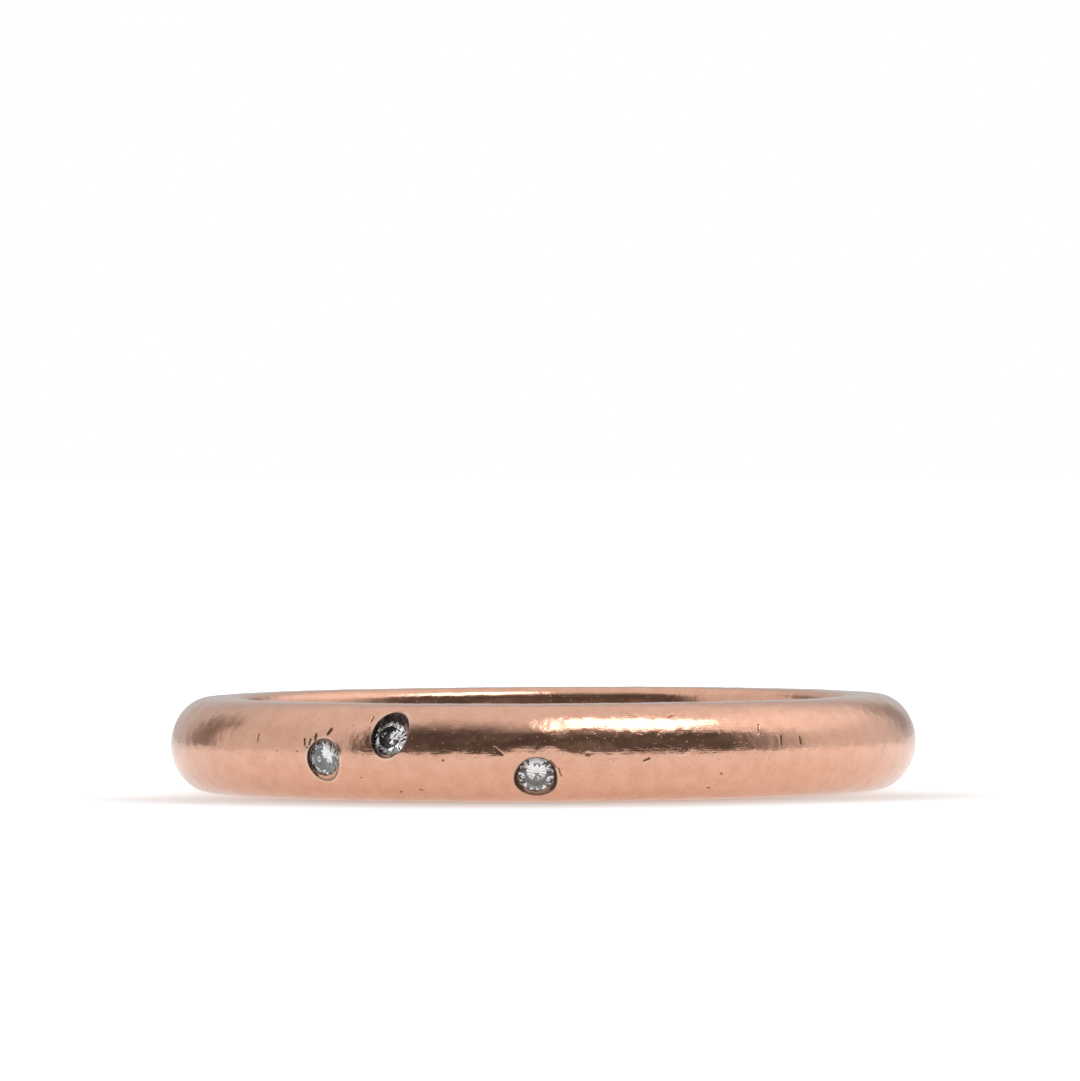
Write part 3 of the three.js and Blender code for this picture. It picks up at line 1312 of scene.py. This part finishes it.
@dataclass
class RollingTree:
    """The Geometry Nodes tree that rolls a sheet into the band and wears its surface.

    Attributes:
        long_share: how much the long waves of the uneven surface count.
        ripple_share: how much its ripples count.
        patch_range: the noise between which dents come in, so that they lie in patches.
        edge_points: how finely the softened edges are drawn.
        heave_above: how far above the middle of its seat the heaved metal comes in.
    """

    long_share: float = 2.0
    ripple_share: float = 0.9
    patch_range: Span = (0.4, 0.6)
    edge_points: int = 33
    heave_above: float = 0.5 * MM

    LONG_WAVES = Noise(0.45, 1.0)
    SHORT_WAVES = Noise(1.4, 2.0, 0.45)
    RIPPLES = Noise(3.4, 1.0)
    PATCHES = Noise(0.8, 1.0)
    FLOATS = (
        "Hole Radius", "Side Radius", "Dome Depth", "Half Width", "Edge Radius", "Unevenness",
        "Swell Height", "Dent Depth", "Dent Radius", "Dent Density", "Nick Width",
        "Heave", "Heave Reach", "Heave Width",
    )
    OTHERS = {
        "Geometry": "Geometry", "Heave Place": "Vector", "Dome Steps": "Int", "Seed": "Int",
        "Nick Lines": "Object", "Finish": "Material",
    }

    def make(self) -> bpy.types.NodeTree:
        """Builds the tree with its named inputs.

        Returns:
            The tree.
        """
        inputs = self.OTHERS | dict.fromkeys(self.FLOATS, "Float")
        desk = Desk.group("band_rolling", "GeometryNodeTree", inputs, ("Geometry", "Geometry"))
        given = desk.node("NodeGroupInput").outputs
        worn = self.wear(desk, given, self.roll(desk, given))
        smooth = desk.node("GeometryNodeSetShadeSmooth", {0: worn}).outputs[0]
        real = desk.node("GeometryNodeRealizeInstances", {0: smooth}).outputs[0]
        dressed = desk.node("GeometryNodeSetMaterial", {0: real, "Material": given["Finish"]}).outputs[0]
        desk.node("NodeGroupOutput", {0: dressed})
        return desk.tree

    @staticmethod
    def attribute(desk: Desk, mark: Mark) -> Socket:
        """Reads an attribute of the geometry."""
        inputs = {"Name": mark.value}
        return desk.node("GeometryNodeInputNamedAttribute", inputs, data_type=mark.kind).outputs[0]

    @staticmethod
    def moved(desk: Desk, geometry: Socket, **inputs: Socket) -> Socket:
        """Gives a geometry whose points have a new place or an offset."""
        return desk.node("GeometryNodeSetPosition", {"Geometry": geometry, **inputs}).outputs[0]

    @staticmethod
    def arc(desk: Desk, steps: Value, start: float, sweep: float, size: Socket, centre: Socket) -> Socket:
        """Gives an arc of an ellipse.

        Args:
            desk: where the nodes go.
            steps: the number of its points.
            start: the angle that it starts at.
            sweep: how far it turns.
            size: its two half axes.
            centre: its middle.

        Returns:
            The curve.
        """
        inputs = {"Resolution": steps, "Radius": 1.0, "Start Angle": start, "Sweep Angle": sweep}
        curve = desk.node("GeometryNodeCurveArc", inputs, mode="RADIUS").outputs[0]
        inputs = {"Geometry": curve, "Translation": centre, "Scale": size}
        return desk.node("GeometryNodeTransform", inputs).outputs[0]

    @staticmethod
    def line(desk: Desk, start: Socket, end: Socket) -> Socket:
        """Gives a straight line between two points."""
        return desk.node("GeometryNodeCurvePrimitiveLine", {"Start": start, "End": end}).outputs[0]

    def stretches(self, desk: Desk, given: bpy.types.NodeOutputs) -> list[Socket]:
        """Draws the stretches of the section, with X as the radius and Y as the height.

        Args:
            desk: where the nodes go.
            given: the tree's inputs.

        Returns:
            A curve for each stretch.
        """
        hole, side, edge = given["Hole Radius"], given["Side Radius"], given["Edge Radius"]
        half, depth = given["Half Width"], given["Dome Depth"]
        width = desk.times(half, 2.0)
        inner = desk.plus(hole, edge)
        upper = desk.minus(width, edge)
        small = desk.joined(edge, edge, 1.0)
        quarter = math.pi / 2
        steps = desk.plus(given["Dome Steps"], 1.0)
        dome_size = desk.joined(depth, half, 1.0)
        return [
            self.arc(desk, self.edge_points, 2 * quarter, quarter, small, desk.joined(inner, edge)),
            self.line(desk, desk.joined(inner, 0.0), desk.joined(side, 0.0)),
            self.arc(desk, steps, -quarter, 2 * quarter, dome_size, desk.joined(side, half)),
            self.line(desk, desk.joined(side, width), desk.joined(inner, width)),
            self.arc(desk, self.edge_points, quarter, quarter, small, desk.joined(inner, upper)),
            self.line(desk, desk.joined(hole, upper), desk.joined(hole, edge)),
        ]

    def roll(self, desk: Desk, given: bpy.types.NodeOutputs) -> Socket:
        """Rolls the sheet round the finger hole, except what lies inside a seat.

        Args:
            desk: where the nodes go.
            given: the tree's inputs.

        Returns:
            The rolled band.
        """
        share, part, around = (self.attribute(desk, mark) for mark in (Mark.SHARE, Mark.PART, Mark.AROUND))
        switch = desk.node("GeometryNodeIndexSwitch", {"Index": part}, data_type="VECTOR")
        curves = self.stretches(desk, given)
        while len(switch.index_switch_items) < len(curves) + 1:
            switch.index_switch_items.new()
        for i, curve in enumerate(curves):
            inputs = {"Curves": curve, "Factor": share}
            sample = desk.node("GeometryNodeSampleCurve", inputs, mode="FACTOR")
            radius, height, _ = desk.split(sample.outputs["Position"])
            right = desk.times(radius, desk.math("SINE", around))
            back = desk.times(radius, desk.math("COSINE", around), -1.0)
            desk.feed(switch.inputs[1 + i], desk.joined(right, back, height))
        desk.feed(switch.inputs[1 + int(Part.SEAT)], desk.node("GeometryNodeInputPosition").outputs[0])
        return self.moved(desk, given["Geometry"], Position=switch.outputs[0])

    def wear(self, desk: Desk, given: bpy.types.NodeOutputs, rolled: Socket) -> Socket:
        """Makes the surface uneven, swells it round the mouths, and dents and nicks it.

        Args:
            desk: where the nodes go.
            given: the tree's inputs.
            rolled: the rolled band.

        Returns:
            The worn band.
        """
        place = desk.node("GeometryNodeInputPosition").outputs[0]
        body = desk.scaled(place, 1 / MM)
        long, short = desk.sway(body, self.LONG_WAVES), desk.sway(body, self.SHORT_WAVES)
        ripple = desk.times(desk.sway(body, self.RIPPLES), self.ripple_share)
        waves = desk.plus(desk.math("MULTIPLY_ADD", long, self.long_share, short), ripple)
        dents = self.dents(desk, given, rolled, body)
        relief = desk.minus(desk.times(waves, given["Unevenness"]), dents, self.nicks(desk, given))
        swell = desk.times(self.attribute(desk, Mark.SWELL), given["Swell Height"])
        skin = self.attribute(desk, Mark.SKIN)
        out = desk.plus(desk.times(relief, skin), swell, self.heave(desk, given, place))
        normal = desk.node("GeometryNodeInputNormal").outputs[0]
        return self.moved(desk, rolled, Offset=desk.scaled(normal, out))

    def dents(self, desk: Desk, given: bpy.types.NodeOutputs, rolled: Socket, body: Socket) -> Socket:
        """Scatters dents over the dome, in patches.

        Args:
            desk: where the nodes go.
            given: the tree's inputs.
            rolled: the rolled band.
            body: the place in the body, in millimetres.

        Returns:
            Their depth at a place.
        """
        inputs = {"A": self.attribute(desk, Mark.PART), "B": int(Part.DOME)}
        on_dome = desk.node("FunctionNodeCompare", inputs, data_type="INT", operation="EQUAL").outputs[0]
        inputs = {0: rolled, "Selection": on_dome, "Density": given["Dent Density"], "Seed": given["Seed"]}
        spots = desk.node("GeometryNodeDistributePointsOnFaces", inputs,
                          distribute_method="RANDOM").outputs[0]
        near = desk.node("GeometryNodeProximity", {0: spots}, target_element="POINTS").outputs["Distance"]
        dent = desk.fade(near, 0.0, given["Dent Radius"])
        patchy = desk.ramp(desk.noise(body, self.PATCHES), *self.patch_range)
        return desk.times(dent, patchy, given["Dent Depth"])

    def nicks(self, desk: Desk, given: bpy.types.NodeOutputs) -> Socket:
        """Cuts the nicks along their lines.

        Args:
            desk: where the nodes go.
            given: the tree's inputs.

        Returns:
            Their depth at a place.
        """
        lines = desk.node("GeometryNodeObjectInfo", {"Object": given["Nick Lines"]}).outputs["Geometry"]
        away = desk.node("GeometryNodeProximity", {0: lines}, target_element="EDGES").outputs["Distance"]
        index = desk.node("GeometryNodeSampleNearest", {0: lines}, domain="POINT").outputs[0]
        inputs = {0: lines, "Value": self.attribute(desk, Mark.DEPTH), "Index": index}
        depth = desk.node("GeometryNodeSampleIndex", inputs, data_type="FLOAT", domain="POINT").outputs[0]
        return desk.times(desk.fade(away, 0.0, given["Nick Width"]), depth)

    def heave(self, desk: Desk, given: bpy.types.NodeOutputs, place: Socket) -> Socket:
        """Gives how far the metal is pushed out above one mouth, in an arch over it.

        Args:
            desk: where the nodes go.
            given: the tree's inputs.
            place: the place in the body.

        Returns:
            The distance.
        """
        from_seat = desk.vector("SUBTRACT", place, given["Heave Place"])
        off = desk.minus(desk.length(from_seat), given["Heave Reach"])
        spread = desk.math("DIVIDE", off, given["Heave Width"])
        ridge = desk.math("EXPONENT", desk.times(spread, spread, -1.0))
        above = desk.ramp(desk.split(from_seat)[2], 0.0, self.heave_above)
        return desk.times(ridge, above, given["Heave"])


@dataclass
class Stones:
    """The three diamonds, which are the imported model's own nodes."""

    section: Section
    cut: StoneCut
    seats: tuple[Seat, ...]
    finish: Diamond

    def dress(self) -> list[bpy.types.Object]:
        """Gives each stone its material, with the girdle frosted where it is.

        Returns:
            The stones.
        """
        stones = []
        for seat in self.seats:
            place = seat.frame(self.section)
            lifted = place @ Matrix.Translation((0.0, 0.0, seat.girdle_level_mm(self.cut) * MM))
            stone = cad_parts[seat.stone]
            stone.data.materials.clear()
            stone.data.materials.append(self.finish.make(seat.stone, lifted, self.cut.girdle_mm))
            stones.append(stone)
        return stones


@dataclass(frozen=True)
class Paper:
    """The white floor sheet; its glow is painted light, with a painted shadow and reflection by the ring.

    Attributes:
        white: the paper's own shade.
        mottle: how much darker its darkest spots are.
        roughness: how matt it is.
        gloss: how much it reflects.
        painted_glow: how bright its painted light is in reflections, on the left and on the right.
        painted_glow_mm: how far out those two are.
        behind: how much less that is behind the ring.
        shown: how bright its glow is in plain view next to the ring, where the low value is a painted
            shadow, a little away from it and far off.
        reach_mm: the distances from the ring's axis that those three are for.
        front_mm: how far in front of the ring's axis the first of the three comes in.
        painted_bounce: its painted pink reflection of the ring beside it, in reflections and in plain view.
        painted_bounce_mm: the distances between which the painted reflection fades away.
    """

    white: float = 0.3
    mottle: float = 0.02
    roughness: float = 0.5
    gloss: float = 0.2
    painted_glow: Span = (0.63, 0.76)
    painted_glow_mm: float = 60.0
    behind: float = 0.72
    shown: tuple[float, float, float] = (0.36, 0.8, 1.0)
    reach_mm: tuple[float, float, float] = (10.6, 17.5, 200.0)
    front_mm: Span = (0.0, 9.5)
    painted_bounce: tuple[Color, Color] = ((1.0, 0.93, 0.87), (1.0, 0.8, 0.73))
    painted_bounce_mm: Span = (10.6, 15.5)

    SPOTS = Noise(0.2, 3.0)
    SPOT_RANGE = (0.2, 0.8)

    def make(self) -> bpy.types.Material:
        """Builds the material.

        Returns:
            The material.
        """
        material = bpy.data.materials.new("paper")
        desk = Desk.cleared(material)
        body = desk.scaled(desk.node("ShaderNodeTexCoord").outputs["Object"], 1 / MM)
        across, back, _ = desk.split(body)
        away = desk.length(body)
        seen = desk.node("ShaderNodeLightPath").outputs["Is Camera Ray"]
        front = desk.ramp(desk.times(back, -1.0), *self.front_mm)
        # Painted reflection: the paper's glow takes a pink tint just in front of the ring.
        painted_bounce_share = desk.times(desk.fade(away, *self.painted_bounce_mm), front)
        tint = desk.blend(painted_bounce_share, (1.0, 1.0, 1.0), desk.blend(seen, *self.painted_bounce))
        # Painted light in reflections: the paper glows brighter to the right and less behind the ring.
        painted_glow = desk.ramp(across, -self.painted_glow_mm, self.painted_glow_mm, *self.painted_glow)
        painted_glow = desk.times(painted_glow, desk.ramp(back, 0.0, self.painted_glow_mm, 1.0, self.behind))
        # Painted shadow in plain view: the glow is darker just in front of the ring.
        near, middle, far = self.reach_mm
        low, full, most = self.shown
        painted_shadow_level = desk.mix(front, full, desk.ramp(away, near, middle, low, full))
        shown = desk.plus(painted_shadow_level, desk.ramp(away, middle, far, 0.0, most - full))
        spots = desk.noise(body, self.SPOTS)
        inputs = {
            "Base Color": desk.ramp(spots, *self.SPOT_RANGE, self.white - self.mottle, self.white),
            "Roughness": self.roughness, "Specular IOR Level": self.gloss,
            "Emission Color": tint, "Emission Strength": desk.mix(seen, painted_glow, shown),
        }
        shader = desk.node("ShaderNodeBsdfPrincipled", inputs)
        desk.node("ShaderNodeOutputMaterial", {"Surface": shader.outputs[0]})
        return material


@dataclass(frozen=True)
class Shade:
    """The finish of a card that stands for the dark side of a room, soft along its edges.

    Attributes:
        level: how bright it is, where white paper in full light is 1.
        left: the angles between which its left edge comes in, in degrees round the ring.
        right: the angles between which its right edge fades out.
        low: the elevations between which its lower edge comes in.
        top: the elevation in the middle of its upper edge.
        softness: half the height over which the upper edge fades out.
        slope: how much lower the upper edge is for each degree to the right of slope_from.
        slope_from: where the upper edge starts to go down.
        tighten: how much narrower the upper edge's fade is for each of those degrees.
        mottle: how much brighter its brightest spots are, as a share of its level.
        color: its tint.
        least_softness: the softness that the upper edge keeps where it is narrowest.
    """

    level: float
    left: Span
    right: Span
    low: Span
    top: float
    softness: float
    slope: float = 0.0
    slope_from: float = 0.0
    tighten: float = 0.0
    mottle: float = 0.0
    color: Color = (1.0, 0.93, 0.88)
    least_softness: float = 4.0

    SPOTS = Noise(6.0, 5.0, 0.62)
    SPOT_RANGE = (0.45, 0.72)

    def make(self, name: str) -> bpy.types.Material:
        """Builds the material.

        Args:
            name: its name.

        Returns:
            The material.
        """
        material = bpy.data.materials.new(name)
        desk = Desk.cleared(material)
        body = desk.node("ShaderNodeTexCoord").outputs["Object"]
        x, y, z = desk.split(body)
        around = desk.math("DEGREES", desk.math("ARCTAN2", x, desk.times(y, -1.0)))
        climb = desk.math("DEGREES", desk.math("ARCSINE", desk.math("DIVIDE", z, desk.length(body))))
        past = desk.highest(desk.minus(around, self.slope_from), 0.0)
        top = desk.math("MULTIPLY_ADD", past, -self.slope, self.top)
        soft = desk.math("MULTIPLY_ADD", past, -self.tighten, self.softness)
        soft = desk.highest(soft, self.least_softness)
        mask = desk.times(
            desk.ramp(around, *self.left), desk.fade(around, *self.right), desk.ramp(climb, *self.low),
            desk.fade(climb, desk.minus(top, soft), desk.plus(top, soft)),
        )
        spots = desk.noise(desk.vector("NORMALIZE", body), self.SPOTS)
        level = desk.ramp(spots, *self.SPOT_RANGE, self.level, self.level * (1 + self.mottle))
        dark = desk.node("ShaderNodeEmission", {"Color": self.color, "Strength": level})
        clear = desk.node("ShaderNodeBsdfTransparent")
        both = desk.node("ShaderNodeMixShader", {0: mask, 1: clear.outputs[0], 2: dark.outputs[0]})
        desk.node("ShaderNodeOutputMaterial", {"Surface": both.outputs[0]})
        return material


@dataclass
class Card:
    """A curved card round the ring, which only reflections see.

    Attributes:
        name: its name.
        finish: what it looks like, which also gives where it is.
        distance: its distance from the ring.
        columns: how finely it is divided round the ring.
        rows: how finely it is divided upwards.
        highest: the elevation that it never goes above.
    """

    name: str
    finish: Shade
    distance: float = 0.34
    columns: int = 32
    rows: int = 16
    highest: float = 89.0

    def build(self) -> bpy.types.Object:
        """Makes the card, with its face towards the ring.

        Returns:
            The card.
        """
        left, right = self.finish.left[0], self.finish.right[1]
        low, high = self.finish.low[0], min(self.highest, self.finish.top + self.finish.softness)
        points = []
        for j in range(self.rows + 1):
            climb = math.radians(low + (high - low) * j / self.rows)
            for i in range(self.columns + 1):
                around = math.radians(left + (right - left) * i / self.columns)
                reach, height = self.distance * math.cos(climb), self.distance * math.sin(climb)
                points.append(on_circle(around, reach, height))
        across = self.columns + 1
        faces = [
            (j * across + i, (j + 1) * across + i, (j + 1) * across + i + 1, j * across + i + 1)
            for j in range(self.rows) for i in range(self.columns)
        ]
        mesh = plain_mesh(self.name, points, [], faces)
        mesh.materials.append(self.finish.make(self.name))
        card = put(self.name, mesh)
        card.visible_camera = False
        card.visible_diffuse = False
        card.visible_shadow = False
        return card


@dataclass(frozen=True)
class Lift:
    """A change of the walls' brightness along one axis.

    Attributes:
        axis: the axis.
        between: where on it the change starts and ends, from -1 to 1.
        change: what it adds at the start and at the end.
    """

    axis: Axis
    between: Span
    change: Span

    def add(self, desk: Desk, direction: tuple[Socket, Socket, Socket]) -> Socket:
        """Gives what it adds in a direction."""
        return desk.ramp(direction[self.axis], *self.between, *self.change)


@dataclass
class Studio:
    """The floor, the walls, the cards and the light.

    Attributes:
        floor_radius: the floor's radius.
        floor_corners: how finely its edge is divided.
        paper: its finish.
        wall: how bright the walls are, where white paper in full light is 1.
        lifts: the changes of that: lighter above, to the right and far left, darker behind.
        window: the two changes that together make the lightest place, above and to the right.
        cards: the cards that the ring reflects.
        softbox_radiance: how bright the softbox is.
        softbox_centre: its middle.
        softbox_size: its two sides.
    """

    floor_radius: float = 3.0
    floor_corners: int = 96
    paper: Paper = Paper()
    wall: float = 0.75
    lifts: tuple[Lift, ...] = (
        Lift(Axis.Z, (0.45, 0.8), (0.0, 0.16)), Lift(Axis.X, (0.0, 0.9), (0.0, 0.1)),
        Lift(Axis.X, (-0.9, -0.5), (0.06, 0.0)), Lift(Axis.Y, (0.5, 0.95), (0.0, -0.14)),
    )
    window: tuple[Lift, Lift] = (
        Lift(Axis.X, (0.2, 0.8), (0.0, 0.34)), Lift(Axis.Z, (0.25, 0.55), (0.0, 1.0)),
    )
    cards: tuple[Card, ...] = (
        Card("dark_front", Shade(0.088, (-67, -56), (56, 96), (0.2, 1.0), 57, 20, 0.3, -5.0, 0.25, 1.9)),
        Card("dark_left", Shade(0.29, (-146, -134), (-124, -116), (0.2, 2.2), 29, 7)),
        Card("dark_right", Shade(0.4, (141, 150), (158, 168), (2.0, 6.0), 24, 6)),
    )
    softbox_radiance: float = 2.9
    softbox_centre: tuple[float, float, float] = (0.175, -0.2, 0.42)
    softbox_size: Span = (0.31, 0.254)

    def floor(self) -> bpy.types.Object:
        """Makes the floor, a disc that the ring lies on.

        Returns:
            The floor.
        """
        count = self.floor_corners
        edge = [on_circle(2 * math.pi * i / count, self.floor_radius, 0.0) for i in range(count)]
        faces = [(0, 1 + i, 1 + (i + 1) % count) for i in range(count)]
        mesh = plain_mesh("floor", [(0.0, 0.0, 0.0), *edge], [], faces)
        mesh.materials.append(self.paper.make())
        floor = put("floor", mesh)
        return floor

    def walls(self) -> None:
        """Sets the world: white in plain view, and the walls in reflections."""
        world = bpy.data.worlds.new("studio")
        bpy.context.scene.world = world
        desk = Desk.cleared(world)
        direction = desk.split(desk.node("ShaderNodeTexCoord").outputs["Generated"])
        lifts, window = ([lift.add(desk, direction) for lift in row] for row in (self.lifts, self.window))
        shade = desk.plus(self.wall, *lifts, desk.times(*window))
        seen = desk.node("ShaderNodeLightPath").outputs["Is Camera Ray"]
        inputs = {"Color": desk.mix(seen, shade, 1.0), "Strength": 1.0}
        background = desk.node("ShaderNodeBackground", inputs)
        desk.node("ShaderNodeOutputWorld", {"Surface": background.outputs[0]})

    def softbox(self) -> None:
        """Hangs the softbox above the ring and to its right, facing down."""
        light = bpy.data.lights.new("softbox", "AREA")
        light.shape = "RECTANGLE"
        light.size, light.size_y = self.softbox_size
        light.energy = self.softbox_radiance * math.pi * light.size * light.size_y
        put("softbox", light).location = self.softbox_centre

    def build(self) -> None:
        """Makes the whole studio."""
        self.floor()
        self.walls()
        for card in self.cards:
            card.build()
        self.softbox()


@dataclass(frozen=True)
class Camera:
    """The camera, level with the ring and close to the floor.

    Attributes:
        distance: how far it stands from the ring's axis.
        height: how high it is.
        aside: how far it stands to the right.
        lens: its focal length in millimetres.
        sensor: the long side of its sensor in millimetres.
        pitch: how far it looks down, in degrees.
        roll: how far it leans, in degrees.
    """

    distance: float = 0.270
    height: float = 0.0097
    aside: float = -0.00007
    lens: float = 314.2
    sensor: float = 36.0
    pitch: float = 0.5465
    roll: float = -0.27

    def build(self) -> bpy.types.Object:
        """Makes the camera and sets it as the scene's.

        Returns:
            The camera.
        """
        data = bpy.data.cameras.new("camera")
        data.lens = self.lens
        data.sensor_width = self.sensor
        camera = put("camera", data)
        place = Matrix.Translation((self.aside, -self.distance, self.height))
        tip = Matrix.Rotation(math.radians(90 - self.pitch), 4, "X")
        lean = Matrix.Rotation(math.radians(self.roll), 4, "Z")
        camera.matrix_world = place @ tip @ lean
        bpy.context.scene.camera = camera
        return camera


SEATS = (
    Seat("left_stone", around=-35.2, rise=-0.12, tip=0, sunk=0.03, spin=32, wide=1.08, tall=1.2,
         shift=-0.05, lean=2, waver=((1, 0.055, -0.5), (3, 0.02, -2.36)), black=(0.85, 0.5),
         bright_cut=(-85, 0.75), line=0.55, lip_swell_and_highlight=1.0),
    Seat("middle_stone", around=-23.9, rise=0.355, tip=0, sunk=0.1, spin=-2, wide=1.08, tall=1.43,
         shift=0.09, lean=-14, waver=((1, 0.03, -0.3), (3, 0.012, 0.6)), black=(1.0, 0.85),
         bright_cut=(-35, 0.9), line=0.3, lip_swell_and_highlight=0.7),
    Seat("right_stone", around=-1.15, rise=-0.445, tip=14, sunk=0.19, spin=-7, wide=1.17, tall=1.21,
         shift=-0.085, lean=0, waver=((3, 0.02, 3.1), (5, 0.008, 2.2)), black=(0.72, 0.36),
         line=0.8, lip_swell_and_highlight=0.15, heave=0.032),
)

NICKS = (
    Nick(-36.5, 0.32, 0.22, 92, 0.012, 0.06),
    Nick(-34.1, 0.44, 0.24, 62, 0.012, 0.07),
    Nick(-38.5, 0.22, 0.22, 96, 0.010, 0.05),
    Nick(-37.5, 0.22, 0.20, 82, 0.008, 0.05),
    Nick(-38.0, 0.11, 0.09, 5, 0.008, 0.05),
    Nick(-39.9, 0.03, 0.05, 20, 0.010),
    Nick(-44.2, 0.03, 0.04, 20, 0.008),
    Nick(-48.6, 0.28, 0.26, 94, 0.006),
    Nick(-27.3, 0.70, 0.22, 84, 0.014, 0.05),
    Nick(-6.7, 0.07, 0.34, -42, 0.010, 0.05),
    Nick(6.6, 0.0, 0.12, 2, 0.010),
    Nick(15.5, -0.12, 0.2, 22, 0.008),
    Nick(20.0, 0.75, 0.24, 25, 0.010),
    Nick(1.4, -0.20, 0.28, -52, 0.006),
    Nick(2.4, -0.37, 0.28, -70, 0.006),
    Nick(38.3, 0.21, 0.30, 84, 0.008),
    Nick(42.1, 0.20, 0.24, 96, 0.006),
    Nick(34.5, 0.45, 0.30, 72, 0.010),
    Nick(27.8, -0.45, 0.10, -30, 0.010, 0.05),
    Nick(26.3, -0.74, 0.12, 10, 0.006),
    Nick(-28.7, -0.50, 0.05, 0, 0.008),
    Nick(-15.1, -0.12, 0.06, 30, 0.008),
    Nick(-19.2, -0.74, 0.12, -20, 0.006),
    Nick(-22.7, -0.79, 0.10, 10, 0.006),
)


def report(piece: bpy.types.Object) -> None:
    """Logs a piece's name and how many triangles it has."""
    triangles = sum(len(face.vertices) - 2 for face in piece.data.polygons)
    LOG.info("%s: %d triangles", piece.name, triangles)


def main() -> None:
    """Builds the ring, the studio and the camera."""
    logging.basicConfig(level=logging.INFO, format="%(name)s %(message)s")
    section = Section.of_node("band", dome_depth=1.15 * MM, edge_radius=0.35 * MM)
    cut = StoneCut()
    Camera().build()
    report(Band(section, cut, SEATS, NICKS, RoseGold()).build())
    for stone in Stones(section, cut, SEATS, Diamond()).dress():
        report(stone)
    Studio().build()
    bpy.context.scene.view_settings.view_transform = "Standard"


if __name__ == "__main__":
    main()
